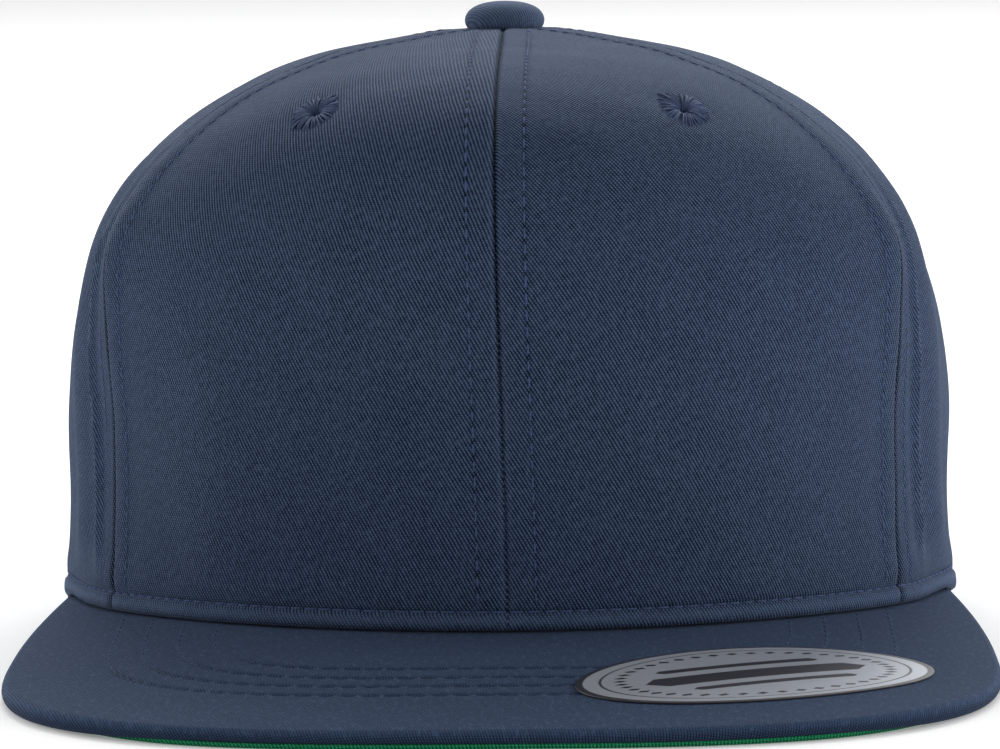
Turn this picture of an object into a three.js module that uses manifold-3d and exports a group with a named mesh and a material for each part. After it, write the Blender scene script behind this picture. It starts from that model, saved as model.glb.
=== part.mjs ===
// Six-panel cap with a stiff flat peak and a snap strap, resting on its rim as it lies on a table.
// Millimetres, +Z up. The peak points to -Y and the wearer's left is +X.
// The origin is the middle of the rectangle that the cap stands on, at table height.
import * as THREE from 'three';
import Module from 'manifold-3d';
import { mergeVertices } from 'three/addons/utils/BufferGeometryUtils.js';

const wasm = await Module();
wasm.setup();

// Crown: the ellipse at its hem, its height over the middle and how far it leans back
const CROWN_HALF_WIDTH = 88;
const CROWN_HALF_LENGTH = 101;
const CROWN_HEIGHT = 115;
const CROWN_LEAN = 0.0084;
const CLOTH = 1.4;
const GAP = 0.3;
const TOP_HOLE_REACH = 0.028;

// Peak: how far it stands out, its widest place, and the two powers that round its plan
const PEAK_REACH = 73;
const PEAK_HALF_WIDTH = 91;
const PEAK_WIDEST_Y = -85;
const PEAK_TAIL_Y = -19;
const PEAK_TAPER = 4.3;
const PEAK_POWER_X = 2.9;
const PEAK_POWER_Y = 3.2;
const PEAK_BOARD = 2.1;
const UNDER_CLOTH = 0.9;
const UNDER_INSET = 0.35;
const LEDGE = 6;

// Top of the peak: height at its root, fall to the front, arch across the root and how it flattens out
const PEAK_ROOT_HEIGHT = 9.55;
const PEAK_FALL = 0.085;
const PEAK_ARCH = 0.00075;
const PEAK_FLATTENING = 8.4e-6;

// Hem behind the peak: height beside the ears, and where it comes down to the table
const HEM_SIDE_HEIGHT = 2.4;
const HEM_FLAT_Y = 45;
const HEM_STEP_START_Y = -17;
const HEM_STEP_END_Y = 3;

// The whole cap is as long as the crown and the peak together
const LENGTH = 2 * CROWN_HALF_LENGTH + PEAK_REACH;
const CROWN_Y = LENGTH / 2 - CROWN_HALF_LENGTH;

// Seams of the crown in degrees from the middle of the front
const SEAM = { front: 0, sideFront: 58, sideRear: 122, rear: 180 };

// Upright sections of the crown. rise is the share of the way from hem to top, and the other
// columns say how far the cloth reaches from the axis there, as a share of the hem ellipse.
const COLUMNS = [
  'rise', 'front', 'frontMiddle', 'sideFront', 'sideMiddle', 'sideRear', 'rearMiddle', 'rear',
];
const SECTIONS = [
  [0.000, 1.000, 1.000, 1.000, 1.000, 1.000, 1.000, 1.000],
  [0.167, 0.994, 0.995, 0.992, 0.990, 0.993, 0.994, 0.993],
  [0.334, 0.985, 0.989, 0.989, 0.990, 0.985, 0.982, 0.980],
  [0.491, 0.970, 0.983, 1.004, 0.962, 0.966, 0.957, 0.955],
  [0.634, 0.945, 0.958, 1.002, 0.896, 0.920, 0.903, 0.900],
  [0.747, 0.905, 0.905, 0.913, 0.820, 0.845, 0.820, 0.815],
  [0.835, 0.840, 0.828, 0.785, 0.712, 0.733, 0.705, 0.700],
  [0.899, 0.735, 0.712, 0.640, 0.585, 0.600, 0.575, 0.570],
  [0.943, 0.575, 0.555, 0.480, 0.455, 0.455, 0.440, 0.435],
  [0.971, 0.360, 0.355, 0.335, 0.295, 0.290, 0.280, 0.275],
  [1.000, 0.000, 0.000, 0.000, 0.000, 0.000, 0.000, 0.000],
].map((row) => Object.fromEntries(COLUMNS.map((name, index) => [name, row[index]])));
const LAST_SECTION = SECTIONS.length - 1;

// Soft dents and swells of the cloth: where they are, how far they spread and how deep they go in
const DENTS = [
  { angle: -74, height: 34, spread: 7, tall: 30, depth: 1.5 },
  { angle: -98, height: 30, spread: 14, tall: 26, depth: 1 },
  { angle: 72, height: 30, spread: 6, tall: 34, depth: 1.7 },
  { angle: 92, height: 24, spread: 9, tall: 14, depth: 1.2 },
  { angle: -46, height: 24, spread: 9, tall: 14, depth: 0.8 },
  { angle: 44, height: 22, spread: 12, tall: 14, depth: 0.6 },
  { angle: 140, height: 44, spread: 12, tall: 30, depth: 1.4 },
  { angle: -146, height: 50, spread: 14, tall: 26, depth: 1.4 },
];

const RADIANS = Math.PI / 180;

// Smooth value of one column of the section table at a place between its rows
function sectionValue(column, place) {
  const row = Math.min(Math.floor(place), LAST_SECTION - 1);
  const part = place - row;
  const before = row > 0 ? SECTIONS[row - 1][column] : 2 * SECTIONS[0][column] - SECTIONS[1][column];
  const from = SECTIONS[row][column];
  const to = SECTIONS[row + 1][column];
  const mirrored = column === 'rise' ? SECTIONS[LAST_SECTION - 1].rise : -SECTIONS[LAST_SECTION - 1][column];
  const after = row + 2 <= LAST_SECTION ? SECTIONS[row + 2][column] : mirrored;
  const linear = to - before;
  const square = 2 * before - 5 * from + 4 * to - after;
  const cube = 3 * from - before - 3 * to + after;
  return from + 0.5 * part * (linear + part * (square + part * cube));
}

// Place in the section table at which the crown has risen by this share
function placeAtRise(rise) {
  let low = 0;
  let high = LAST_SECTION;
  for (let step = 0; step < 30; step += 1) {
    const middle = (low + high) / 2;
    if (sectionValue('rise', middle) < rise) low = middle;
    else high = middle;
  }
  return low;
}

function smoothStep(low, high, value) {
  return THREE.MathUtils.smoothstep(value, low, high);
}

// Reach of the crown at an angle from the front: a parabola through the panel's two seams and middle
function crownReach(angle, place) {
  const turned = Math.abs(angle);
  let panel = ['front', 'frontMiddle', 'sideFront'];
  if (turned > SEAM.sideFront) panel = ['sideFront', 'sideMiddle', 'sideRear'];
  if (turned > SEAM.sideRear) panel = ['sideRear', 'rearMiddle', 'rear'];
  const across = (turned - SEAM[panel[0]]) / (SEAM[panel[2]] - SEAM[panel[0]]);
  const [first, middle, last] = panel.map((column) => sectionValue(column, place));
  const straight = first + (last - first) * across;
  return straight + (middle - (first + last) / 2) * 4 * across * (1 - across);
}

function dentDepth(angle, height) {
  let depth = 0;
  for (const dent of DENTS) {
    const across = (angle - dent.angle) / dent.spread;
    const up = (height - dent.height) / dent.tall;
    depth += dent.depth * Math.exp(-across * across - up * up);
  }
  return depth;
}

// Height of the peak's top face; y is measured from the crown's axis
function peakTop(x, y) {
  const forward = y + CROWN_HALF_LENGTH;
  return PEAK_ROOT_HEIGHT + forward * (PEAK_FALL - PEAK_FLATTENING * x * x) - PEAK_ARCH * x * x;
}

// Hem of the crown: on the peak in front, a step down behind its tails, then down to the table
function hemHeight(angle) {
  const x = CROWN_HALF_WIDTH * Math.sin(angle * RADIANS);
  const y = -CROWN_HALF_LENGTH * Math.cos(angle * RADIANS);
  const onPeak = peakTop(x, Math.min(y, HEM_STEP_START_Y)) + GAP;
  const behind = HEM_SIDE_HEIGHT * (1 - smoothStep(-HEM_FLAT_Y, HEM_FLAT_Y, y)) * 2;
  const step = smoothStep(HEM_STEP_START_Y, HEM_STEP_END_Y, y);
  const low = y > 0 ? behind : HEM_SIDE_HEIGHT;
  return onPeak * (1 - step) + low * step;
}

// A point of the crown; inset is how far it lies under the outer face
function crownPoint(angle, place, inset = 0) {
  const sine = Math.sin(angle * RADIANS);
  const cosine = Math.cos(angle * RADIANS);
  const rise = sectionValue('rise', place);
  const hem = hemHeight(angle);
  const reach = crownReach(angle, place);
  const flatY = -CROWN_HALF_LENGTH * cosine * reach;
  const top = CROWN_HEIGHT + CROWN_LEAN * (CROWN_HALF_LENGTH - flatY);
  const height = hem + (top - hem) * rise;
  const sunk = inset + dentDepth(angle, height) * (1 - rise);
  const x = (CROWN_HALF_WIDTH - sunk) * sine * reach;
  const y = -(CROWN_HALF_LENGTH - sunk) * cosine * reach;
  return new THREE.Vector3(x, y + CROWN_Y, height - inset * rise);
}

// A closed solid between an outer and an inner face, each a grid of points, with walls round its rim
function sheetSolid(columns, rows, outerPoint, innerPoint) {
  const positions = [];
  const indices = [];
  const width = columns + 1;
  const face = width * (rows + 1);
  for (const point of [outerPoint, innerPoint]) {
    for (let row = 0; row <= rows; row += 1) {
      for (let column = 0; column <= columns; column += 1) {
        positions.push(...point(column / columns, row / rows).toArray());
      }
    }
  }
  const quad = (a, b, c, d) => indices.push(a, b, c, a, c, d);
  for (let row = 0; row < rows; row += 1) {
    for (let column = 0; column < columns; column += 1) {
      const corner = row * width + column;
      quad(corner, corner + 1, corner + width + 1, corner + width);
      quad(face + corner, face + corner + width, face + corner + width + 1, face + corner + 1);
    }
  }
  for (let column = 0; column < columns; column += 1) {
    const top = rows * width + column;
    quad(column + 1, column, face + column, face + column + 1);
    quad(top, top + 1, face + top + 1, face + top);
  }
  for (let row = 0; row < rows; row += 1) {
    const left = row * width;
    const right = left + columns;
    quad(left, left + width, face + left + width, face + left);
    quad(right + width, right, face + right, face + right + width);
  }
  return facingOut(positions, indices);
}

// Builds the geometry and turns its faces over if they point into the solid
function facingOut(positions, indices) {
  const corner = (index) => new THREE.Vector3().fromArray(positions, 3 * index);
  let volume = 0;
  for (let i = 0; i < indices.length; i += 3) {
    volume += corner(indices[i]).dot(corner(indices[i + 1]).cross(corner(indices[i + 2])));
  }
  if (volume < 0) indices.reverse();
  const geometry = new THREE.BufferGeometry();
  geometry.setAttribute('position', new THREE.Float32BufferAttribute(positions, 3));
  geometry.setIndex(indices);
  return geometry;
}

function toSolid(geometry) {
  const bare = geometry.clone();
  bare.deleteAttribute('normal');
  bare.deleteAttribute('uv');
  const merged = mergeVertices(bare, 1e-4);
  const vertProperties = new Float32Array(merged.attributes.position.array);
  const triVerts = new Uint32Array(merged.index.array);
  return new wasm.Manifold(new wasm.Mesh({ numProp: 3, vertProperties, triVerts }));
}

function toGeometry(solid) {
  const mesh = solid.getMesh();
  const geometry = new THREE.BufferGeometry();
  geometry.setAttribute('position', new THREE.Float32BufferAttribute(mesh.vertProperties, 3));
  geometry.setIndex(Array.from(mesh.triVerts));
  geometry.computeVertexNormals();
  return geometry;
}

function material(color, roughness, metalness = 0) {
  return new THREE.MeshStandardMaterial({ color, roughness, metalness });
}

const navyTwill = material(0x2c3b54, 0.85);
const greenTwill = material(0x1d7a4a, 0.85);
const navyThread = material(0x33415c, 0.7);
const strapPlastic = material(0x222e44, 0.45);
const bandCloth = material(0x28344b, 0.9);
const silverFoil = material(0x9aa3ad, 0.35, 0.6);

const cap = new THREE.Group();

function addPiece(name, geometry, look) {
  geometry.computeVertexNormals();
  const mesh = new THREE.Mesh(geometry, look);
  mesh.name = name;
  cap.add(mesh);
  return mesh;
}

// Eyelets: an air hole in the middle of each panel, with thread sewn round it
const EYELET_PLACE = 6.6;
const EYELET_HOLE_RADIUS = 2.1;
const EYELET_LIFT = 0.4;
const EYELET_SIDES = 10;
const EYELET_PROFILE = [
  { radius: 1.05, height: -1.9 },
  { radius: 1.75, height: -1.9 },
  { radius: 1.75, height: 0 },
  { radius: 3.9, height: 0 },
  { radius: 4.3, height: 0.2 },
  { radius: 3.3, height: 0.55 },
  { radius: 1.6, height: 0.55 },
  { radius: 1.05, height: 0.2 },
];

// Frame on the crown's outer face: x and y lie in the cloth, z points out of it
function clothFrame(angle, place) {
  const step = 0.5;
  const centre = crownPoint(angle, place);
  const along = crownPoint(angle + step, place).sub(crownPoint(angle - step, place)).normalize();
  const upward = crownPoint(angle, place + 0.1).sub(crownPoint(angle, place - 0.1));
  const outward = new THREE.Vector3().crossVectors(along, upward).normalize();
  const up = new THREE.Vector3().crossVectors(outward, along);
  return new THREE.Matrix4().makeBasis(along, up, outward).setPosition(centre);
}

function eyelet(angle) {
  const outline = EYELET_PROFILE.map((point) => new THREE.Vector2(point.radius, point.height));
  outline.push(outline[0].clone());
  const geometry = new THREE.LatheGeometry(outline, EYELET_SIDES);
  geometry.rotateX(Math.PI / 2);
  geometry.translate(0, 0, EYELET_LIFT);
  return geometry.applyMatrix4(clothFrame(angle, EYELET_PLACE));
}

function eyeletHole(angle) {
  const depth = 12;
  const drill = new THREE.CylinderGeometry(EYELET_HOLE_RADIUS, EYELET_HOLE_RADIUS, depth, EYELET_SIDES);
  drill.rotateX(Math.PI / 2);
  return toSolid(drill.applyMatrix4(clothFrame(angle, EYELET_PLACE)));
}

// Rear opening: straight sides and a round arch, over the strap
const OPENING_HALF_WIDTH = 36;
const OPENING_SIDE_HEIGHT = 16;
const OPENING_SEGMENTS = 20;

// A point of the opening's edge, with the direction that leads away from the opening
function openingEdge(along) {
  const sideLength = OPENING_SIDE_HEIGHT / OPENING_HALF_WIDTH;
  const total = Math.PI + 2 * sideLength;
  const travelled = along * total - sideLength;
  const turn = THREE.MathUtils.clamp(travelled, 0, Math.PI);
  const below = turn - travelled;
  const sink = OPENING_HALF_WIDTH * Math.abs(below);
  const outward = new THREE.Vector2(Math.cos(turn), Math.sin(turn));
  const x = OPENING_HALF_WIDTH * outward.x;
  const z = OPENING_SIDE_HEIGHT + OPENING_HALF_WIDTH * outward.y - sink;
  return { x, z, outward };
}

function openingCutter() {
  const shape = new THREE.Shape();
  shape.moveTo(-OPENING_HALF_WIDTH, -10);
  shape.lineTo(OPENING_HALF_WIDTH, -10);
  shape.lineTo(OPENING_HALF_WIDTH, OPENING_SIDE_HEIGHT);
  shape.absarc(0, OPENING_SIDE_HEIGHT, OPENING_HALF_WIDTH, 0, Math.PI, false);
  const settings = { depth: 60, bevelEnabled: false, curveSegments: OPENING_SEGMENTS };
  const geometry = new THREE.ExtrudeGeometry(shape, settings);
  geometry.rotateX(Math.PI / 2);
  geometry.translate(0, CROWN_Y + CROWN_HALF_LENGTH + 20, 0);
  return toSolid(geometry);
}

// The point of the crown's rear with this x and height
function rearPoint(x, z, inset) {
  const place = placeAtRise(THREE.MathUtils.clamp(z / (CROWN_HEIGHT + CROWN_LEAN * 10), 0, 1));
  let turn = 0;
  for (let step = 0; step < 6; step += 1) {
    const reach = crownReach(180 - turn, place);
    turn = Math.asin(Math.abs(x) / (CROWN_HALF_WIDTH * reach)) / RADIANS;
  }
  const point = crownPoint(x < 0 ? turn - 180 : 180 - turn, place, inset);
  point.z = z;
  return point;
}

// A crown panel between two seams, with a narrow gap left for each seam
const PANEL_COLUMNS = 12;
const PANEL_ROWS = 16;

function panelSolid(firstAngle, lastAngle) {
  const point = (inset) => (across, up) => {
    const place = up * topPlace();
    const reach = crownReach((firstAngle + lastAngle) / 2, place);
    const seamGap = GAP / 2 / (CROWN_HALF_WIDTH * reach) / RADIANS;
    const angle = THREE.MathUtils.lerp(firstAngle + seamGap, lastAngle - seamGap, across);
    return crownPoint(angle, place, inset);
  };
  return sheetSolid(PANEL_COLUMNS, PANEL_ROWS, point(0), point(CLOTH));
}

// The panels stop round a small hole for the button's shank
function topPlace() {
  const lastReach = SECTIONS[LAST_SECTION - 1].rear;
  return LAST_SECTION - TOP_HOLE_REACH / lastReach;
}

const PANELS = [
  { name: 'front', first: SEAM.front, last: SEAM.sideFront, eyelet: 31, opening: false },
  { name: 'side', first: SEAM.sideFront, last: SEAM.sideRear, eyelet: 90, opening: false },
  { name: 'rear', first: SEAM.sideRear, last: SEAM.rear, eyelet: 149, opening: true },
];

function addCrown() {
  for (const side of [1, -1]) {
    const hand = side > 0 ? 'left' : 'right';
    for (const panel of PANELS) {
      const eyeletAngle = side * panel.eyelet;
      const first = Math.min(side * panel.first, side * panel.last);
      const last = Math.max(side * panel.first, side * panel.last);
      let solid = toSolid(panelSolid(first, last)).subtract(eyeletHole(eyeletAngle));
      if (panel.opening) solid = solid.subtract(openingCutter());
      addPiece(`panel_${panel.name}_${hand}`, toGeometry(solid), navyTwill);
      addPiece(`eyelet_${panel.name}_${hand}`, eyelet(eyeletAngle), navyThread);
    }
  }
}

// Button: a low covered dome, with a shank through the crown's top and a washer inside
const BUTTON_PROFILE = [
  { radius: 0, height: -3.1 },
  { radius: 4, height: -3.1 },
  { radius: 4, height: -2.3 },
  { radius: 1.7, height: -2.3 },
  { radius: 1.7, height: 0.35 },
  { radius: 7.2, height: -0.25 },
  { radius: 7.9, height: 0.5 },
  { radius: 7.6, height: 2 },
  { radius: 6.3, height: 3.4 },
  { radius: 3.6, height: 4.3 },
  { radius: 0, height: 4.6 },
];
const BUTTON_SIDES = 20;

function addButton() {
  const outline = BUTTON_PROFILE.map((point) => new THREE.Vector2(point.radius, point.height));
  const geometry = new THREE.LatheGeometry(outline, BUTTON_SIDES);
  geometry.rotateX(Math.PI / 2);
  const button = addPiece('button', geometry, navyTwill);
  button.position.set(0, CROWN_Y, CROWN_HEIGHT + CROWN_LEAN * CROWN_HALF_LENGTH);
}

// Plan of the peak from its right tail round the front to its left tail
const OUTLINE_STEPS = 60;

function peakOutline(inset) {
  const halfWidth = PEAK_HALF_WIDTH - inset;
  const reach = CROWN_HALF_LENGTH + PEAK_REACH + PEAK_WIDEST_Y - inset;
  const points = [];
  for (let step = -OUTLINE_STEPS; step <= OUTLINE_STEPS; step += 1) {
    const turn = (step / OUTLINE_STEPS) * Math.PI / 2;
    const x = halfWidth * Math.sign(turn) * Math.abs(Math.sin(turn)) ** (2 / PEAK_POWER_X);
    const y = PEAK_WIDEST_Y - reach * Math.abs(Math.cos(turn)) ** (2 / PEAK_POWER_Y);
    points.push(new THREE.Vector2(x, y));
  }
  const tail = (share) => {
    const y = THREE.MathUtils.lerp(PEAK_WIDEST_Y, PEAK_TAIL_Y, share);
    return new THREE.Vector2(halfWidth - PEAK_TAPER * share * share, y);
  };
  for (let step = 1; step <= 6; step += 1) {
    const end = tail(step / 6);
    points.push(end);
    points.unshift(new THREE.Vector2(-end.x, end.y));
  }
  return new THREE.SplineCurve(points);
}

// The line on which the crown stands on the peak, and the ledge inside it
function rootLine(across, inset) {
  const widest = Math.acos(-PEAK_TAIL_Y / CROWN_HALF_LENGTH);
  const turn = THREE.MathUtils.lerp(-widest, widest, across);
  const x = (CROWN_HALF_WIDTH - inset) * Math.sin(turn);
  return new THREE.Vector2(x, -(CROWN_HALF_LENGTH - inset) * Math.cos(turn));
}

// Shares of the way out over the peak at which its grid has a line; the first stretch is the ledge
const PEAK_ROWS = [-1, 0, 0.2, 0.42, 0.64, 0.84, 0.96, 1];
const PEAK_COLUMNS = 40;

function peakLayer(outline, depth, rimDrop) {
  return (across, outward) => {
    const place = outward * (PEAK_ROWS.length - 1);
    const share = PEAK_ROWS[Math.round(place)];
    const root = rootLine(across, 0);
    if (share < 0) {
      const ledge = rootLine(across, LEDGE);
      return new THREE.Vector3(ledge.x, ledge.y + CROWN_Y, peakTop(root.x, root.y) - depth);
    }
    const edge = outline.getPointAt(across);
    const spot = root.clone().lerp(edge, share);
    const drop = share === 1 ? rimDrop : 0;
    return new THREE.Vector3(spot.x, spot.y + CROWN_Y, peakTop(spot.x, spot.y) - depth - drop);
  };
}

function addPeak() {
  const rows = PEAK_ROWS.length - 1;
  const outline = peakOutline(0);
  const board = sheetSolid(
    PEAK_COLUMNS,
    rows,
    peakLayer(outline, 0, 0.7),
    peakLayer(outline, PEAK_BOARD, 0),
  );
  addPiece('peak', board, navyTwill);
  const underOutline = peakOutline(UNDER_INSET);
  const underTop = PEAK_BOARD + GAP;
  const under = sheetSolid(
    PEAK_COLUMNS,
    rows,
    peakLayer(underOutline, underTop, 0),
    peakLayer(underOutline, underTop + UNDER_CLOTH, -0.3),
  );
  addPiece('under_peak', under, greenTwill);
}

// Sticker: an oval foil on the left half of the peak
const STICKER_LENGTH = 71;
const STICKER_WIDTH = 39;
const STICKER_CENTRE = { x: 45.7, y: -130.5 };
const STICKER_TURN = 30.5;
const STICKER_FOIL = 0.4;

function addSticker() {
  const halfLength = STICKER_LENGTH / 2 + 1;
  const halfWidth = STICKER_WIDTH / 2 + 1;
  const turn = STICKER_TURN * RADIANS;
  const centre = new THREE.Vector2(STICKER_CENTRE.x, STICKER_CENTRE.y);
  const layer = (lift) => (across, up) => {
    const local = new THREE.Vector2((2 * across - 1) * halfLength, (2 * up - 1) * halfWidth);
    const spot = local.rotateAround(new THREE.Vector2(), turn).add(centre);
    return new THREE.Vector3(spot.x, spot.y + CROWN_Y, peakTop(spot.x, spot.y) + lift);
  };
  const foil = toSolid(sheetSolid(8, 4, layer(GAP + STICKER_FOIL), layer(GAP)));
  const oval = new THREE.Shape();
  oval.absellipse(0, 0, STICKER_LENGTH / 2, STICKER_WIDTH / 2, 0, 2 * Math.PI, false, turn);
  const stencil = new THREE.ExtrudeGeometry(oval, { depth: 40, bevelEnabled: false, curveSegments: 16 });
  stencil.translate(centre.x, centre.y + CROWN_Y, -10);
  addPiece('sticker', toGeometry(foil.intersect(toSolid(stencil))), silverFoil);
}

// Sweatband: the band behind the hem, up to the strap's ends
const BAND_END_ANGLE = 137;
const BAND_HEIGHT = 30;
const BAND_INSET = 1.8;
const BAND_THICKNESS = 1.2;

function addSweatband() {
  const layer = (inset) => (across, up) => {
    const angle = THREE.MathUtils.lerp(-BAND_END_ANGLE, BAND_END_ANGLE, across);
    const place = placeAtRise(up * BAND_HEIGHT / CROWN_HEIGHT);
    return crownPoint(angle, place, inset);
  };
  const band = sheetSolid(48, 2, layer(BAND_INSET), layer(BAND_INSET + BAND_THICKNESS));
  addPiece('sweatband', band, bandCloth);
}

// Binding: a folded tape round the opening's edge, seen as a channel in section
const TAPE = 0.8;
const TAPE_CLEARANCE = 0.55;
const TAPE_REACH = 7;
const TAPE_OUTER = -TAPE_CLEARANCE;
const TAPE_INNER = CLOTH + TAPE_CLEARANCE;
const BINDING_SECTION = [
  { away: TAPE_REACH, inset: TAPE_OUTER },
  { away: TAPE_REACH, inset: TAPE_OUTER - TAPE },
  { away: -GAP - TAPE, inset: TAPE_OUTER - TAPE },
  { away: -GAP - TAPE, inset: TAPE_INNER + TAPE },
  { away: TAPE_REACH, inset: TAPE_INNER + TAPE },
  { away: TAPE_REACH, inset: TAPE_INNER },
  { away: -GAP, inset: TAPE_INNER },
  { away: -GAP, inset: TAPE_OUTER },
];

function addBinding() {
  const positions = [];
  const indices = [];
  const corners = BINDING_SECTION.length;
  for (let step = 0; step <= OPENING_SEGMENTS; step += 1) {
    const edge = openingEdge(step / OPENING_SEGMENTS);
    for (const corner of BINDING_SECTION) {
      const x = edge.x + edge.outward.x * corner.away;
      const z = edge.z + edge.outward.y * corner.away;
      positions.push(...rearPoint(x, Math.max(z, 0), corner.inset).toArray());
    }
  }
  for (let step = 0; step < OPENING_SEGMENTS; step += 1) {
    for (let corner = 0; corner < corners; corner += 1) {
      const next = (corner + 1) % corners;
      const a = step * corners;
      const b = a + corners;
      indices.push(a + corner, b + corner, b + next, a + corner, b + next, a + next);
    }
  }
  const section = BINDING_SECTION.map((corner) => new THREE.Vector2(corner.away, corner.inset));
  const lastRing = OPENING_SEGMENTS * corners;
  const sectionTurn = Math.sign(THREE.ShapeUtils.area(section));
  for (const [a, b, c] of THREE.ShapeUtils.triangulateShape(section, [])) {
    const faceTurn = Math.sign(THREE.ShapeUtils.area([section[a], section[b], section[c]]));
    const [second, third] = faceTurn === sectionTurn ? [b, c] : [c, b];
    indices.push(a, second, third, lastRing + a, lastRing + third, lastRing + second);
  }
  addPiece('rear_opening_binding', facingOut(positions, indices), navyTwill);
}

// Snap strap: a plain band whose two ends lie over each other in the middle, with a row of studs
const STRAP_HEIGHT = 18;
const STRAP_HALF_SPAN = 55;
const STRAP_OVERLAP = 23;
const STRAP_ENTRY = 30;
const STRAP_END_INSET = 4.1;
const STRAP_STUD_HEIGHT = 0.8;
const STRAP_DOUBLE = 2.8;
const STRAP_SINGLE = 1.5;
const STUD_RADIUS = 2.6;
const STUD_SPACING = 9;
const STUD_COUNT = 5;

function strapInset(x) {
  const towardsEnd = smoothStep(STRAP_OVERLAP, STRAP_ENTRY, Math.abs(x));
  return THREE.MathUtils.lerp(STRAP_STUD_HEIGHT, STRAP_END_INSET, towardsEnd);
}

function strapPoint(x, z, inset) {
  const turn = Math.asin(x / CROWN_HALF_WIDTH);
  const point = new THREE.Vector3(
    (CROWN_HALF_WIDTH - inset) * Math.sin(turn),
    (CROWN_HALF_LENGTH - inset) * Math.cos(turn) + CROWN_Y,
    z,
  );
  return point;
}

function addStrap() {
  const layer = (inner) => (across, up) => {
    const x = THREE.MathUtils.lerp(-STRAP_HALF_SPAN, STRAP_HALF_SPAN, across);
    const doubled = 1 - smoothStep(STRAP_OVERLAP, STRAP_ENTRY, Math.abs(x));
    const thickness = THREE.MathUtils.lerp(STRAP_SINGLE, STRAP_DOUBLE, doubled);
    return strapPoint(x, up * STRAP_HEIGHT, strapInset(x) + (inner ? thickness : 0));
  };
  let strap = toSolid(sheetSolid(22, 1, layer(false), layer(true)));
  for (let stud = 0; stud < STUD_COUNT; stud += 1) {
    const x = (stud - (STUD_COUNT - 1) / 2) * STUD_SPACING;
    const head = new THREE.CylinderGeometry(STUD_RADIUS * 0.85, STUD_RADIUS, 2 * STRAP_STUD_HEIGHT, 10);
    const turn = Math.asin(x / CROWN_HALF_WIDTH);
    head.rotateZ(-turn);
    const centre = strapPoint(x, STRAP_HEIGHT / 2, STRAP_STUD_HEIGHT);
    head.translate(centre.x, centre.y, centre.z);
    strap = strap.add(toSolid(head));
  }
  addPiece('snap_strap', toGeometry(strap), strapPlastic);
}

addCrown();
addButton();
addPeak();
addSticker();
addSweatband();
addBinding();
addStrap();

export default cap;
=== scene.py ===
"""Cloth, sewing, peak, strap and stage of a six-panel cap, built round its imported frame."""

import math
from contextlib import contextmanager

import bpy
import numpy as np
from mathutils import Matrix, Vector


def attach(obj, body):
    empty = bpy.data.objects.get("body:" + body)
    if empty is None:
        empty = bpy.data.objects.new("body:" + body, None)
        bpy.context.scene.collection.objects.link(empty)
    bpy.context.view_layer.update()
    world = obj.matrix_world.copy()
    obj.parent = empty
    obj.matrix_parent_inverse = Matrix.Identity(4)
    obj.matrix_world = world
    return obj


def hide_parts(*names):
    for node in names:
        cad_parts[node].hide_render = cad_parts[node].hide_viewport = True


bl_info = {
    "name": "Six-panel cap",
    "version": (1, 0, 0),
    "blender": (4, 5, 0),
    "location": "View3D > Sidebar > Cap",
    "description": "Sews the cloth, threads, peak and strap of a six-panel cap over its frame",
    "category": "Object",
}

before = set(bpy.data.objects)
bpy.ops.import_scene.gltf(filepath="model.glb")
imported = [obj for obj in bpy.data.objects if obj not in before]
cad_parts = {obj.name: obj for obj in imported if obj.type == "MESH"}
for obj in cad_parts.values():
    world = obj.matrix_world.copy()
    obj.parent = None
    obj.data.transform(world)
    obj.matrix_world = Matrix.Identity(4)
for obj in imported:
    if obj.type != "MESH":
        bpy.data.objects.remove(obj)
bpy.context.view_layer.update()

# Shapes are worked out in millimetres, and become metres when a mesh is made
MM = 0.001

# Crown: thickness of its cloth, the ellipse at its hem, its height and how far it leans back
CLOTH = 1.4
CROWN_HALF_WIDTH = 88.0
CROWN_HALF_LENGTH = 101.0
CROWN_HEIGHT = 115.0
CROWN_LEAN = 0.0084
# The panels end at this share of the hem ellipse, under the button
TOP_HOLE_REACH = 0.028

# Peak: how far it stands out, half its width and where that is widest, where its tails end and how
# much they taper, and the two powers that round its plan
PEAK_REACH = 73.0
PEAK_HALF_WIDTH = 91.0
PEAK_WIDEST_Y = -85.0
PEAK_TAIL_Y = -19.0
PEAK_TAPER = 4.3
PEAK_POWER_X = 2.9
PEAK_POWER_Y = 3.2
# Layers of the peak: thickness of the board, that of the cloth below it, how far that cloth stands
# back and how deep it lies, and how far both reach in under the crown
PEAK_BOARD = 2.35
UNDER_CLOTH = 0.9
UNDER_INSET = 0.35
UNDER_DEPTH = 2.4
LEDGE = 6.0

# Top of the peak: height at its root, fall to the front, arch across the root and how it flattens out
PEAK_ROOT_HEIGHT = 9.55
PEAK_FALL = 0.085
PEAK_ARCH = 0.00075
PEAK_FLATTENING = 8.4e-6

# Hem behind the peak: height beside the ears, and where it comes down to the table
HEM_SIDE_HEIGHT = 2.4
HEM_FLAT_Y = 45.0
HEM_STEP_START_Y = -17.0
HEM_STEP_END_Y = 3.0
HEM_GAP = 0.3

# The crown's axis lies this far behind the middle of the whole cap
CROWN_Y = (2 * CROWN_HALF_LENGTH + PEAK_REACH) / 2 - CROWN_HALF_LENGTH

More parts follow.
